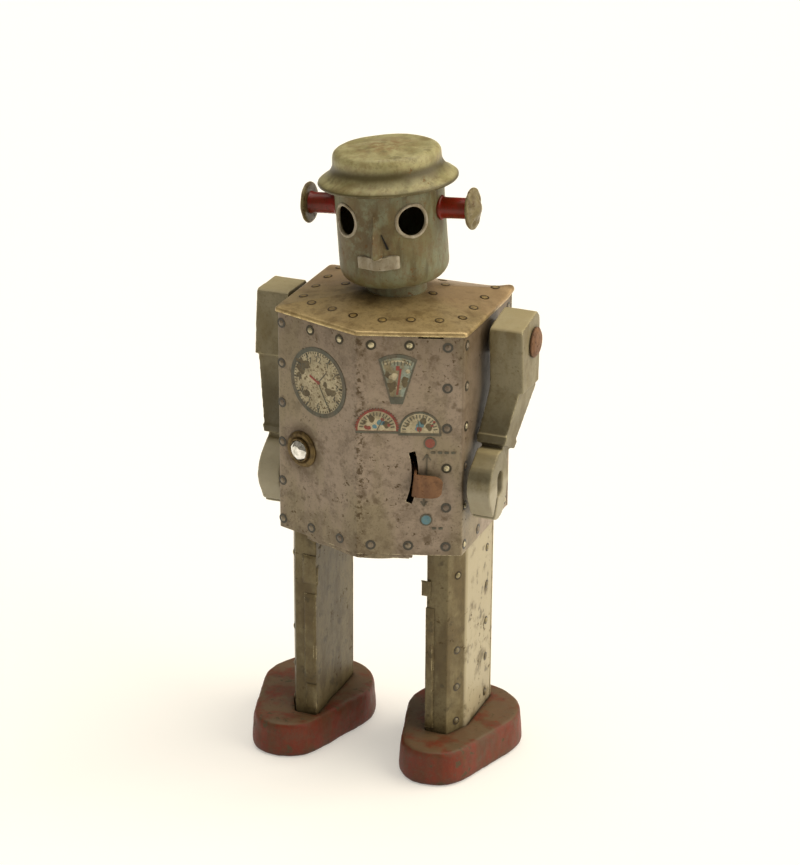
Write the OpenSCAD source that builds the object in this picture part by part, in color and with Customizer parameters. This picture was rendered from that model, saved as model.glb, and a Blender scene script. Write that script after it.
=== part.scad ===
// Tin wind-up robot: pressed tin body with a prow front, cup head under a brimmed hat,
// two cast arms on a shoulder axle and two folded tin legs walked by a clockwork crank.
// The robot faces -Y, its left side is +X, and it stands on z = 0.

/* [Body] */
// Height of the floor of the body
body_bottom = 47.7; // [44:0.1:52]
// Height of the body shell
body_h = 46.1; // [40:0.1:52]
// Half width of the body
body_half_w = 19.3; // [18.9:0.1:22]
// Depth of the straight sides
side_depth = 26.95; // [25:0.05:30]
// How far the prow stands in front of the side panels
prow_depth = 6.75; // [4:0.05:9]
// Y of the flat back
body_back = 12.85; // [12:0.05:15]
// Thickness of the tin sheet
tin = 0.4; // [0.3:0.05:0.6]
// How far the shoulder plate overhangs the body
plate_over = 0.55; // [0.2:0.05:1.2]
// Height of the shoulder plate's turned-down rim
rim_h = 1.5; // [0.8:0.1:2.5]
// Rise of the shoulder plate from its rim to the neck
plate_rise = 2.1; // [1:0.1:4]

/* [Head] */
// Y of the neck's axis
neck_y = -0.2; // [-2:0.1:2]
// Sideways lean of the head towards the robot's right
head_lean = 4.8; // [0:0.1:8]
// Turn of the face towards the robot's left
face_turn = 5.5; // [0:0.1:12]
// Radius of the head cup
head_r = 10.7; // [9.5:0.1:12]
// Height of the cup's floor above the shoulder plate
head_floor = 2.1; // [1.5:0.1:6]
// Height of the cup's rim above the shoulder plate
head_rim = 22.6; // [20:0.1:26]
// Radius of the neck
neck_r = 5.9; // [4.5:0.1:7]
// Radius of the eye holes
eye_r = 2.9; // [2:0.1:3.6]
// Angle of each eye from the nose
eye_angle = 39; // [32:1:45]
// Height of the eyes above the shoulder plate
eye_h = 15.9; // [13:0.1:18]
// Radius of the hat's brim
brim_r = 13.6; // [12.2:0.1:15]
// Radius of the hat's crown
crown_r = 10.6; // [10:0.1:11.4]
// Radius of the ear rods
ear_r = 2.1; // [1.5:0.1:2.6]
// Radius of the ear caps
ear_cap_r = 4.05; // [3:0.05:5]
// Distance from the head's axis to the end of each ear
ear_reach = 18.8; // [16:0.1:21]
// Height of the ears above the shoulder plate
ear_h = 16.5; // [14:0.1:17]

/* [Arms] */
// Y of the shoulder axle
shoulder_y = 1.5; // [0:0.1:3]
// Height of the shoulder axle
shoulder_z = 88; // [86.8:0.1:89]
// Radius of the shoulder axle
axle_r = 1.25; // [1:0.05:1.4]
// Gap between the body's side and each arm
arm_gap = 1.8; // [1.2:0.1:4]
// Width of the arms
arm_w = 6.8; // [5:0.1:8]
// Depth of the upper arms
arm_depth = 10.3; // [8:0.1:11]
// Swing of the left arm at rest, backwards
left_swing = 8; // [0:0.5:12]
// Swing of the right arm at rest, forwards
right_swing = 3; // [0:0.5:12]
// Bend of the left elbow
left_bend = 34; // [10:1:45]
// Bend of the right elbow
right_bend = 3; // [0:1:30]
// Length of the left forearm
left_fore = 13.0; // [10:0.1:15]
// Length of the right forearm
right_fore = 16.5; // [12:0.1:18]

/* [Legs and feet] */
// Distance from the middle of the robot to each leg's inner side
leg_inner = 11.4; // [11.2:0.1:12]
// Width of the legs
leg_w = 7.0; // [6:0.1:7.1]
// Depth of the legs
leg_depth = 19.6; // [16:0.1:20]
// Height of the leg's top above the hip pin
leg_over_hip = 3.0; // [2.4:0.1:3.3]
// Distance from the middle of the robot to each foot's middle
foot_x = 16.1; // [15:0.1:17]
// How far both feet sit towards the robot's right
foot_shift = 1.05; // [0:0.1:2]
// How far both toes turn towards the robot's right, in degrees
foot_turn = 1; // [0:0.5:8]
// Height of the feet
foot_h = 7.3; // [5.5:0.1:9]
// Radius of the foot's heel
heel_r = 11.9; // [10:0.1:12.5]
// Radius of the foot's toe
toe_r = 7.6; // [3.5:0.1:8]
// Distance between the centres of heel and toe
foot_span = 14.8; // [12:0.1:20]
// Depth of the pocket that holds the leg
pocket = 2.4; // [1.5:0.1:4]

/* [Clockwork] */
// Y of the crankshaft
crank_y = -3.6; // [-4.2:0.1:-3.2]
// Height of the crankshaft
crank_z = 57.2; // [56.4:0.1:58]
// Throw of the crank
crank_throw = 0.9; // [0.5:0.05:1.0]
// Radius of the crankshaft and of its pins
crank_r = 1.0; // [0.8:0.05:1.2]
// Radial running clearance of shafts and pins
run = 0.05; // [0.02:0.01:0.09]
// Radius of the clock arbors
arbor_r = 0.8; // [0.6:0.05:1]
// Gear module of the main train
gear_m = 0.6; // [0.55:0.01:0.62]
// Teeth of the great wheel
great_teeth = 36; // [32:2:38]
// Teeth of the second wheel
second_teeth = 26; // [24:2:28]
// Teeth of the contrate wheel
contrate_teeth = 24; // [22:2:26]
// Leaves of the pinions
pinion_leaves = 8; // [8]
// Coils of the mainspring
spring_coils = 7; // [4:1:9]
// Length of the winding key behind the body
key_len = 9.15; // [7:0.05:12]

/* [Lever and jewel] */
// Distance of the lever slot from the prow crease
slot_u = 11.25; // [10:0.05:12]
// Height of the lever's post
slot_z = 64.9; // [62:0.1:66]
// Radius of the lever's travel
lever_r = 16.3; // [15:0.1:18]
// Width of the slot
slot_w = 1.3; // [1:0.1:2]
// Angle of the lever at rest below its post
lever_rest = 6; // [2:0.5:8]
// Upward travel of the lever in degrees
lever_up = 13; // [8:0.5:14]
// Downward travel of the lever in degrees
lever_down = 7; // [4:0.5:9]
// Height of the lever's tab
tab_h = 4.6; // [3:0.1:5]
// Distance of the jewel from the prow crease
jewel_u = 14.3; // [12:0.1:15]
// Height of the jewel
jewel_z = 65.9; // [60:0.1:70]
// Radius of the jewel's bezel
bezel_r = 3.7; // [3:0.1:4.2]

/* [Hidden] */
$fn = 64;

touch = 0.02;                       // overlap that joins two shapes of one piece
gap = 0.3;                          // air between pieces that move past each other
neck_fit = 0.03;                    // air round the neck in the shoulder plate
neck_seat = 1.0;                    // depth of the neck below the plate's top
body_top = body_bottom + body_h;
side_front = body_back - side_depth;
prow_y = side_front - prow_depth;
panel_angle = atan(prow_depth / body_half_w);
neck_z = body_top + plate_rise + 0.2;
body_plan = [
    [-body_half_w, side_front], [0, prow_y], [body_half_w, side_front],
    [body_half_w, body_back], [-body_half_w, body_back]
];

hip_y = crank_y;
leg_front = crank_y - leg_depth / 2;
leg_back = crank_y + leg_depth / 2;
leg_chamfer = [2.4, 4.9];
leg_top = crank_z + leg_over_hip;
heel_y = 0.4;                      // the heel's centre
leg_bottom = foot_h - pocket;
leg_plan = [
    [leg_inner, leg_front], [leg_inner + leg_w - leg_chamfer[0], leg_front],
    [leg_inner + leg_w, leg_front + leg_chamfer[1]], [leg_inner + leg_w, leg_back],
    [leg_inner, leg_back]
];

cheek_x = 9.0;                      // inner face of the motor frame's cheeks
plate_t = 0.8;                      // thickness of the motor plates
frame_y = 1.6;                      // front face of the motor frame
inner_y = frame_y + plate_t;        // the train lies between this
outer_y = inner_y + 7.2;            // and this
web_t = 0.9;
arbor_clear = arbor_r + run;
module_r = gear_m / 2;
great_r = great_teeth * module_r;
second_r = second_teeth * module_r;
contrate_r = contrate_teeth * module_r;
pinion_r = pinion_leaves * module_r;
great_z = crank_z + 22;
governor_m = 0.5;
governor_teeth = 24;
fly_leaves = 7;
reach_ab = great_r + pinion_r;
reach_bc = second_r + pinion_r;
drop = great_z - crank_z;
tilt_b = acos((reach_ab * reach_ab + drop * drop - reach_bc * reach_bc) / (2 * reach_ab * drop));
second_pos = [reach_ab * sin(tilt_b), great_z - reach_ab * cos(tilt_b)];
reach_cd = (governor_teeth + fly_leaves) * governor_m / 2;
fly_tilt = 30;
fly_pos = [-reach_cd * cos(fly_tilt), crank_z + reach_cd * sin(fly_tilt)];
angle_ab = atan2(second_pos[1] - great_z, second_pos[0]);
angle_bc = atan2(crank_z - second_pos[1], -second_pos[0]);

arm_x = body_half_w + arm_gap;
arm_top = 5.2;
elbow_drop = 8.0;
arm_front = 6.4;

post_u = slot_u - lever_r;          // the lever turns about a post behind the other panel
lever_in = 7.2;                     // depth of the lever behind the panel
post_r = 0.8;
lever_t = 0.6;
tab_half = asin(tab_h / 2 / lever_r) + 1;       // half of the tab as an angle at the post
slot_low = -lever_rest - lever_down - tab_half;
slot_high = -lever_rest + lever_up + tab_half;

// ---------- helpers ----------

// A convex outline, counter-clockwise, moved inwards by t
function inset(p, t) = [for (i = [0:len(p) - 1])
    inset_corner(p[(i + len(p) - 1) % len(p)], p[i], p[(i + 1) % len(p)], t)];
function left_normal(a, b) = [a[1] - b[1], b[0] - a[0]] / norm(b - a);
function inset_corner(a, b, c, t) =
    let (n = left_normal(a, b), m = left_normal(b, c)) b + t * (n + m) / (1 + n * m);

// Involute tooth flanks
pressure = 25;
thick = 0.44;                       // share of the pitch that a tooth fills
function involute(rb, r) = let (t = sqrt(max(0, r * r / (rb * rb) - 1)))
    t * 180 / PI - atan(t);
function flank_angle(teeth, rb, r) =
    thick * 180 / teeth + involute(rb, rb / cos(pressure)) - involute(rb, max(r, rb));
function tooth_points(teeth, m, add, ded) =
    let (r = teeth * m / 2, rb = r * cos(pressure), lo = r - ded * m, hi = r + add * m,
         steps = [lo, max(lo, rb), (max(lo, rb) + hi) / 2, hi])
    [for (k = [0:teeth - 1], s = [-3:4])
        let (q = s < 0 ? steps[s + 3] : s == 0 ? hi : steps[4 - s],
             sign = s < 0 ? -1 : 1,
             a = k * 360 / teeth + sign * max(0.2, flank_angle(teeth, rb, q)))
        if (s != 0) q * [cos(a), sin(a)]];

// A spur gear on an arbor along Y: lies from y to y + w, with a tooth pointing at angle turn
module gear(teeth, m, add, at, y, w, turn, bore) {
    translate([at[0], y, at[1]]) rotate([90, 0, 0]) mirror([0, 0, 1]) difference() {
        rotate([0, 0, turn]) linear_extrude(w) polygon(tooth_points(teeth, m, add, 1.05));
        translate([0, 0, -1]) cylinder(r = bore, h = w + 2);
    }
}

module rod_y(at, r, y0, y1) translate([at[0], y1, at[1]]) rotate([90, 0, 0]) cylinder(r = r, h = y1 - y0);
module rod_x(at, r, x0, x1) translate([x0, at[0], at[1]]) rotate([0, 90, 0]) cylinder(r = r, h = x1 - x0);

// Places a shape on the robot's left front panel: x runs out from the prow crease,
// y runs up and z points out of the panel
module on_panel() translate([0, prow_y, 0]) rotate([90, 0, panel_angle]) children();

module head_place() translate([0, neck_y, neck_z]) rotate([0, -head_lean, 0]) children();

module side(s) if (s > 0) children(); else mirror([1, 0, 0]) children();

// ---------- body ----------

module front_casing() color("rosybrown") difference() {
    translate([0, 0, body_bottom]) linear_extrude(body_h) difference() {
        polygon(body_plan);
        polygon(inset(body_plan, tin));
    }
    translate([-body_half_w - 1, body_back - tin, body_bottom - 1])
        cube([2 * body_half_w + 2, tin + 1, body_h + 2]);
    rod_x([shoulder_y, shoulder_z], axle_r + run, -body_half_w - 1, body_half_w + 1);
    on_panel() translate([post_u, slot_z, -1]) rotate([0, 0, slot_low])
        rotate_extrude(angle = slot_high - slot_low)
            translate([lever_r - slot_w / 2, 0]) square([slot_w, 2]);
    mirror([1, 0, 0]) on_panel() translate([jewel_u, jewel_z, -2]) cylinder(r = 1.5, h = 4);
}

module back_cover() color("rosybrown") difference() {
    translate([-body_half_w, body_back - tin, body_bottom]) cube([2 * body_half_w, tin, body_h]);
    rod_y([0, great_z], 2.6, body_back - 2, body_back + 1);
}

module shoulder_plate() {
    rim = inset(body_plan, -plate_over);
    color("darkkhaki") difference() {
        union() {
            translate([0, 0, body_top - rim_h + 0.2]) linear_extrude(rim_h) polygon(rim);
            hull() {
                translate([0, 0, body_top + 0.15]) linear_extrude(0.05) polygon(inset(rim, 0.15));
                translate([0, neck_y, neck_z - 0.1]) cylinder(r = neck_r + 1.6, h = 0.1, $fn = 32);
            }
        }
        translate([0, 0, body_top - 5]) linear_extrude(5) polygon(inset(body_plan, -touch));
        hull() {
            translate([0, 0, body_top - touch]) linear_extrude(touch) polygon(inset(body_plan, 0.8));
            translate([0, neck_y, neck_z - 0.62]) cylinder(r = neck_r + 1.2, h = 0.1, $fn = 32);
        }
        head_place() translate([0, 0, -3]) cylinder(r = neck_r + neck_fit, h = 6);
    }
}

module base_plate() {
    floor_plan = inset(body_plan, tin);
    well_x = leg_inner - gap;
    color("rosybrown") union() {
        translate([0, 0, body_bottom]) linear_extrude(0.5) difference() {
            polygon(floor_plan);
            for (s = [-1, 1]) translate([s > 0 ? well_x : -well_x - 20, leg_front - 5])
                square([20, leg_depth + crank_throw + gap + 5]);
        }
        translate([0, 0, body_bottom - 0.8]) linear_extrude(0.8 + touch) intersection() {
            difference() { polygon(floor_plan); polygon(inset(floor_plan, 0.4)); }
            translate([-12.4, prow_y]) square([22.4, 6]);
        }
    }
}

// ---------- head ----------

module neck() color("darkseagreen") head_place() translate([0, 0, -neck_seat]) difference() {
    cylinder(r = neck_r, h = neck_seat + head_floor);
    translate([0, 0, -1]) cylinder(r = neck_r - tin, h = neck_seat + head_floor + 2);
}

module cup_profile() {
    round_r = 3.4;
    steps = 6;
    outer = [for (i = [0:steps]) let (a = -90 + i * 90 / steps)
        [head_r - round_r + round_r * cos(a), head_floor + round_r + round_r * sin(a)]];
    inner = [for (i = [steps:-1:0]) let (a = -90 + i * 90 / steps)
        [head_r - round_r + (round_r - 0.5) * cos(a), head_floor + round_r + (round_r - 0.5) * sin(a)]];
    polygon(concat([[3, head_floor]], outer, [[head_r, head_rim], [head_r - 0.5, head_rim]],
        inner, [[3, head_floor + 0.5]]));
}

module nose() {
    foot = head_r - 0.35;
    top_z = 18.2;
    low_z = 9.4;
    rotate([0, 0, face_turn - 90]) polyhedron(
        points = [[foot, 0, top_z], [foot - 0.3, -2.1, low_z], [foot - 0.3, 2.1, low_z],
                  [foot + 2.2, 0, low_z + 0.5], [foot - 1, 0, low_z]],
        faces = [[0, 3, 1], [0, 2, 3], [1, 3, 4], [3, 2, 4], [0, 1, 4], [0, 4, 2]]);
}

module head_shell() color("darkseagreen") head_place() difference() {
    union() {
        rotate_extrude() cup_profile();
        nose();
    }
    for (s = [-1, 1]) rotate([0, 0, face_turn - 90 + s * eye_angle])
        translate([head_r - 3, 0, eye_h]) rotate([0, 90, 0]) cylinder(r = eye_r, h = 5);
    for (s = [0, 180]) rotate([0, 0, s])
        translate([head_r - 3, 0, ear_h]) rotate([0, 90, 0]) cylinder(r = ear_r, h = 5);
}

module hat() color("darkkhaki") head_place() {
    edge = head_rim - 1.3;
    top = head_rim + 5.7;
    rotate_extrude() polygon([
        [head_r + 0.03, edge + 1.3], [brim_r - 0.9, edge + 0.1], [brim_r - 0.35, edge - 0.25],
        [brim_r - 0.05, edge - 0.1], [brim_r, edge + 0.2], [brim_r - 0.8, edge + 0.8],
        [brim_r - 1.9, edge + 1.65], [crown_r + 0.2, edge + 2.6], [crown_r - 0.35, edge + 3.6],
        [crown_r - 0.3, edge + 4.9], [crown_r, top - 0.85], [crown_r - 0.25, top - 0.25],
        [crown_r - 1.0, top + 0.1], [crown_r - 3, top + 0.3], [crown_r - 6, top + 0.45], [0, top + 0.4],
        [0, top - 0.1], [crown_r - 6, top - 0.05], [crown_r - 3, top - 0.2], [crown_r - 1.1, top - 0.4],
        [crown_r - 0.6, top - 0.85], [crown_r - 0.8, edge + 4.9], [crown_r - 0.85, edge + 3.6],
        [crown_r - 0.4, edge + 2.3], [head_r + 0.03, edge + 1.9]
    ]);
}

module ear_rods() color("firebrick") head_place() for (s = [0, 180]) rotate([0, 0, s])
    translate([head_r - 1.2, 0, ear_h]) rotate([0, 90, 0])
        cylinder(r = ear_r, h = ear_reach - 2.2 - head_r + 1.2);

module ear_cap(s) color("darkgoldenrod") head_place() rotate([0, 0, s > 0 ? 0 : 180])
    translate([0, 0, ear_h]) rotate([0, 90, 0]) rotate_extrude() polygon([
        [0, ear_reach - 2.2], [ear_r + 0.1, ear_reach - 2.2], [ear_cap_r - 0.7, ear_reach - 2.3],
        [ear_cap_r - 0.1, ear_reach - 2.1], [ear_cap_r, ear_reach - 1.6],
        [ear_cap_r - 0.5, ear_reach - 0.9], [ear_cap_r - 1.7, ear_reach - 0.3], [0, ear_reach]
    ]);
module ear_cap_left() ear_cap(1);
module ear_cap_right() ear_cap(-1);

// ---------- jewel ----------

module jewel_bezel() color("goldenrod") mirror([1, 0, 0]) on_panel() translate([jewel_u, jewel_z, 0])
    rotate_extrude() polygon([
        [1.1, -tin - 0.5], [1.9, -tin - 0.5], [1.9, -tin], [1.5, -tin], [1.5, 0], [bezel_r, 0],
        [bezel_r, 0.2], [bezel_r - 0.4, 0.55], [bezel_r - 0.9, 0.6], [2.35, 0.3], [2.35, 1.0],
        [2.1, 1.0], [2.1, 0.3], [1.1, 0.3]
    ]);

module jewel_glass() color("white") mirror([1, 0, 0]) on_panel() translate([jewel_u, jewel_z, 0.3])
    rotate_extrude($fn = 12) polygon([[0, 0], [2.0, 0], [2.0, 0.6], [1.3, 1.4], [0, 1.7]]);

// ---------- arms ----------

module shoulder_axle() color("dimgray")
    rod_x([shoulder_y, shoulder_z], axle_r, -arm_x - arm_w - 0.3, arm_x + arm_w + 0.3);

module arm_rivets() color("sienna") for (s = [-1, 1]) side(s)
    translate([arm_x + arm_w + 0.15, shoulder_y, shoulder_z]) rotate([0, 90, 0]) difference() {
        rotate_extrude() polygon([[0, 0], [3.0, 0], [3.0, 0.3], [2.3, 0.75], [0, 1.0]]);
        translate([0, 0, -1]) cylinder(r = axle_r, h = 1.15);
    }

// A slab of the forearm, square to its run, for a hull
module arm_slab(x, w, y, d, z) translate([x, y - d / 2, z]) cube([w, d, 0.2]);

// An arm about its shoulder: x runs outwards from its inner face
module arm(bend, fore) {
    elbow_y = -2.0;
    wrist_x = -1.0;
    difference() {
        union() {
            rotate([90, 0, 90]) linear_extrude(arm_w) polygon([
                [-arm_front, arm_top - 0.4], [-arm_front + 0.6, arm_top], [arm_depth - arm_front - 1.4, arm_top + 0.3],
                [arm_depth - arm_front, arm_top - 1.2], [arm_depth - arm_front - 0.3, -2],
                [elbow_y + 4.1, -elbow_drop - 1.5], [elbow_y - 5.0, -elbow_drop]
            ]);
            translate([-arm_gap + gap, 0, 0]) rotate([0, 90, 0]) cylinder(r = 3.4, h = arm_gap);
            translate([0, elbow_y, -elbow_drop]) rotate([-bend, 0, 0]) {
                hull() {
                    arm_slab(0.1, arm_w - 0.5, 0, 8.6, 0.2);
                    arm_slab(wrist_x, arm_w - 1.0, -0.8, 6.4, -fore + 1.6);
                }
                hull() {
                    arm_slab(wrist_x - 0.2, arm_w - 0.6, -0.8, 6.9, -fore + 1.4);
                    arm_slab(wrist_x, arm_w - 1.0, -0.8, 6.5, -fore);
                }
                translate([wrist_x + 0.7, -3.0, -fore - 2.6]) cube([arm_w - 2.4, 4.2, 3.0]);
                translate([wrist_x + 0.5, -2.2, -fore - 7.4]) rotate([0.6 * bend, 0, 0]) hand();
            }
        }
        translate([-arm_gap - 1, 0, 0]) rotate([0, 90, 0]) cylinder(r = axle_r + run, h = arm_w + arm_gap + 2);
    }
}

// A gripping hand seen from the side, with its finger gap
module hand() rotate([90, 0, 90]) linear_extrude(arm_w - 2.0) difference() {
    hull() {
        circle(r = 5.4, $fn = 40);
        translate([0.6, -3.4]) circle(r = 4.0, $fn = 32);
        translate([0.4, 3.8]) circle(r = 2.8, $fn = 32);
    }
    hull() {
        translate([0.6, 0.9]) circle(r = 1.5, $fn = 24);
        translate([0.9, -1.3]) circle(r = 1.5, $fn = 24);
    }
    polygon([[-0.3, -1.4], [0.6, -1.4], [-1.9, -8.6], [-2.9, -8.2]]);
}

module arm_at(s, turn, bend, fore) color("gray") side(s)
    translate([arm_x, shoulder_y, shoulder_z]) rotate([turn, 0, 0]) arm(bend, fore);
module arm_left() arm_at(1, left_swing, left_bend, left_fore);
module arm_right() arm_at(-1, -right_swing, right_bend, right_fore);

// ---------- clockwork frame ----------

module motor_frame() color("silver") difference() {
    union() {
        translate([-cheek_x - plate_t, frame_y, crank_z + 4.6])
            cube([2 * (cheek_x + plate_t), plate_t, great_z - crank_z + 1]);
        translate([-cheek_x - plate_t, frame_y, crank_z - 6])
            cube([2 * (cheek_x + plate_t), plate_t, 12]);
        for (s = [-1, 1]) side(s) translate([cheek_x, crank_y - 3, crank_z - 3])
            cube([plate_t, frame_y - crank_y + 3 + touch, 6]);
    }
    for (p = [[0, great_z], second_pos, [0, crank_z], fly_pos])
        rod_y(p, arbor_clear, frame_y - 1, inner_y + 1);
    rod_x([crank_y, crank_z], crank_r + 0.6, -cheek_x - 2, cheek_x + 2);
}

module motor_back_plate() color("silver") difference() {
    translate([-cheek_x - plate_t, outer_y, crank_z - 6])
        cube([2 * (cheek_x + plate_t), plate_t, great_z - crank_z + 11.6]);
    for (p = [[0, great_z], second_pos, [0, crank_z], fly_pos])
        rod_y(p, arbor_clear, outer_y - 1, outer_y + 2);
}

pillar_spots = [[-8.4, crank_z - 4.6], [8.4, crank_z - 4.6], [-8.7, crank_z + 11.4]];
module motor_pillars() color("silver") for (p = pillar_spots) rod_y(p, 0.9, inner_y, outer_y);

module bearing_bushes() color("goldenrod") for (s = [-1, 1]) side(s)
    translate([cheek_x - 0.2, crank_y, crank_z]) rotate([0, 90, 0]) difference() {
        cylinder(r = crank_r + 0.6, h = plate_t + 0.3);
        translate([0, 0, -1]) cylinder(r = crank_r + run, h = 4);
    }

// Fixed pins behind the legs keep them upright as the crank carries them round
module guide_pins() color("silver") for (s = [-1, 1]) side(s)
    translate([body_half_w - tin, leg_back + crank_throw + gap + 0.8, body_bottom + 9])
        rotate([0, -90, 0]) cylinder(r = 0.8, h = 7);

// ---------- mainspring, arbor and key ----------

spring_y = inner_y + 3.2;
spring_w = 3.6;
module mainspring() {
    first = 2.3;
    pitch = 1.05;
    strip = 0.3;
    n = 20;
    function turn_point(i, r) = (r + pitch * i / n) * [cos(i * 360 / n), sin(i * 360 / n)];
    last = spring_coils * n;
    color("steelblue") translate([0, spring_y + spring_w, great_z]) rotate([90, 0, 0])
        linear_extrude(spring_w) polygon(concat(
            [for (i = [0:last]) turn_point(i, first)],
            [for (i = [last:-1:0]) turn_point(i, first + strip)]));
}

module winding_arbor() color("silver") union() {
    rod_y([0, great_z], arbor_r, frame_y - 0.5, outer_y - 0.4);
    rod_y([0, great_z], 1.5, spring_y - 0.1, outer_y - 0.3);
    rod_y([0, great_z], arbor_r, outer_y - 0.4, body_back + key_len - 5);
}

ratchet_teeth = 10;
module ratchet_wheel() color("goldenrod") translate([0, inner_y + 1.6, great_z]) rotate([90, 0, 0])
    linear_extrude(0.9) difference() {
        polygon([for (k = [0:ratchet_teeth - 1], j = [0:1])
            let (a = k * 360 / ratchet_teeth + (j > 0 ? 30 : 0)) (j > 0 ? 2.9 : 2.2) * [cos(a), sin(a)]]);
        circle(r = arbor_r);
    }

module winding_key() color("silver") translate([0, body_back + 0.8, great_z]) {
    barrel = 4.2;
    rotate([-90, 0, 0]) difference() {
        cylinder(r = 1.7, h = barrel);
        translate([0, 0, -1]) cylinder(r = arbor_r, h = key_len - 5 + 0.2);
    }
    for (s = [-1, 1]) translate([s * 3.6, barrel + 0.1, 0]) rotate([90, 0, 0]) rotate([0, 0, 90])
        translate([0, 0, -0.5]) difference() {
            cylinder(r = 3.3, h = 1);
            translate([0, 0, -1]) cylinder(r = 1.9, h = 3);
        }
    translate([-1.2, barrel - 0.4, -0.5]) cube([2.4, key_len - 0.8 - barrel + 0.4, 1]);
}

// ---------- going train ----------

great_y = inner_y + 1.8;
second_y = inner_y + 0.4;
module great_wheel() color("goldenrod") difference() {
    gear(great_teeth, gear_m, 0.65, [0, great_z], great_y, 1.0, angle_ab, arbor_clear);
    for (k = [0:3]) translate([0, great_y - 1, great_z]) rotate([0, 45 + 90 * k, 0])
        translate([6.4, 0, 0]) rotate([-90, 0, 0]) cylinder(r = 2.2, h = 3);
}

module click_spring() color("steelblue") translate([0, inner_y + 1.0, great_z])
    rotate([0, 200, 0]) translate([3.1, 0, -0.6]) cube([1.3, 0.8, 0.6]);

module second_wheel() color("goldenrod")
    gear(second_teeth, gear_m, 0.65, second_pos, second_y, 1.0, angle_bc, arbor_r);

module second_pinion() color("silver") union() {
    gear(pinion_leaves, gear_m, 0.8, second_pos, second_y + 1.05, 1.6,
        angle_ab + 180 + 180 / pinion_leaves, arbor_r / 2);
    rod_y(second_pos, arbor_r, frame_y - 0.3, outer_y + plate_t + 0.3);
}

module third_pinion() color("silver") union() {
    gear(pinion_leaves, gear_m, 0.8, [0, crank_z], second_y - 0.2, 1.4,
        angle_bc + 180 + 180 / pinion_leaves, arbor_r / 2);
    rod_y([0, crank_z], arbor_r, crank_y + pinion_r + 0.9, outer_y + plate_t + 0.3);
}

governor_y = inner_y + 3.3;
module governor_wheel() color("goldenrod")
    gear(governor_teeth, governor_m, 0.6, [0, crank_z], governor_y, 0.8, 180 - fly_tilt, arbor_r);

module fly_pinion() color("silver") union() {
    gear(fly_leaves, governor_m, 0.8, fly_pos, governor_y - 0.2, 1.3,
        -fly_tilt + 180 / fly_leaves, arbor_r / 2);
    rod_y(fly_pos, arbor_r, frame_y - 0.3, outer_y + plate_t + 0.3);
}

module fly_vane() color("silver") difference() {
    union() {
        rod_y(fly_pos, 1.2, governor_y + 1.5, outer_y - 0.4);
        translate([fly_pos[0] - 3.2, governor_y + 1.6, fly_pos[1] - 0.2]) cube([6.4, 1.8, 0.4]);
    }
    rod_y(fly_pos, arbor_r, governor_y, outer_y);
}

// The contrate wheel's teeth stand forwards and turn the crankshaft's pinion
contrate_y = crank_y + pinion_r;
module contrate_tooth() {
    half = 0.36 * gear_m * PI / 2;
    slope = tan(pressure);
    tip = 0.6 * gear_m;
    root = 1.1 * gear_m;
    translate([contrate_r - 0.75, contrate_y, 0]) rotate([90, 0, 90]) linear_extrude(1.5)
        polygon([[-tip, half - tip * slope], [-tip, -half + tip * slope],
                 [root, -half - root * slope], [root, half + root * slope]]);
}

module contrate_wheel() color("goldenrod") difference() {
    union() {
        for (k = [0:contrate_teeth - 1]) translate([0, 0, crank_z])
            rotate([0, k * 360 / contrate_teeth, 0]) contrate_tooth();
        rod_y([0, crank_z], contrate_r + 0.75, contrate_y + 1.0 * gear_m, contrate_y + 1.0 * gear_m + 0.8);
    }
    rod_y([0, crank_z], arbor_r, contrate_y - 2, contrate_y + 4);
}

// ---------- crankshaft ----------

module drive_pinion() color("silver") translate([contrate_r - 0.6, crank_y, crank_z]) rotate([90, 0, 90])
    difference() {
        linear_extrude(1.2) rotate([0, 0, 180 / pinion_leaves])
            polygon(tooth_points(pinion_leaves, gear_m, 0.8, 1.05));
        translate([0, 0, -1]) cylinder(r = crank_r, h = 4);
    }

web_x = cheek_x + plate_t + 0.3;
pin_end = leg_inner + leg_w - 1.4;
module crankshaft() color("silver") rod_x([crank_y, crank_z], crank_r, -web_x, web_x);

module crank_webs() color("silver") for (s = [-1, 1]) side(s) {
    translate([web_x, crank_y, crank_z]) rotate([0, 90, 0]) cylinder(r = 2.4, h = web_t);
    translate([web_x + web_t - touch, crank_y + s * crank_throw, crank_z]) rotate([0, 90, 0])
        cylinder(r = crank_r, h = pin_end - web_x - web_t);
}

// ---------- legs and feet ----------

// s is 1 for the robot's left and -1 for its right; the left crank pin stands back at rest
module leg_place(s) side(s) translate([0, s * crank_throw, 0]) children();

module leg_shell(s) color("darkkhaki") leg_place(s) difference() {
    translate([0, 0, leg_bottom]) linear_extrude(leg_top - leg_bottom) difference() {
        polygon(leg_plan);
        polygon(inset(leg_plan, tin));
    }
    translate([leg_inner - 1, leg_back - tin, leg_bottom - 1]) cube([leg_w + 2, tin + 1, leg_top]);
    rod_x([hip_y, crank_z], crank_r + run, leg_inner - 1, leg_inner + 2);
}
module leg_left() leg_shell(1);
module leg_right() leg_shell(-1);

module leg_cover(s) color("darkkhaki") leg_place(s)
    translate([leg_inner, leg_back - tin, leg_bottom]) cube([leg_w, tin, leg_top - leg_bottom]);
module leg_cover_left() leg_cover(1);
module leg_cover_right() leg_cover(-1);

module hip_block(s) color("silver") leg_place(s) difference() {
    translate([leg_inner + tin, hip_y - 3, crank_z - 3]) cube([leg_w - 2 * tin, 6, 5.8]);
    rod_x([hip_y, crank_z], crank_r + run, leg_inner - 1, pin_end + 0.3);
}
module hip_block_left() hip_block(1);
module hip_block_right() hip_block(-1);

module foot_puck(r) rotate_extrude($fn = 48) polygon([
    [0, 0], [r - 0.5, 0], [r, 0.5], [r + 0.05, 1.6], [r - 0.25, foot_h - 1.4],
    [r - 0.45, foot_h - 0.5], [r - 0.9, foot_h], [0, foot_h]
]);

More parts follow.
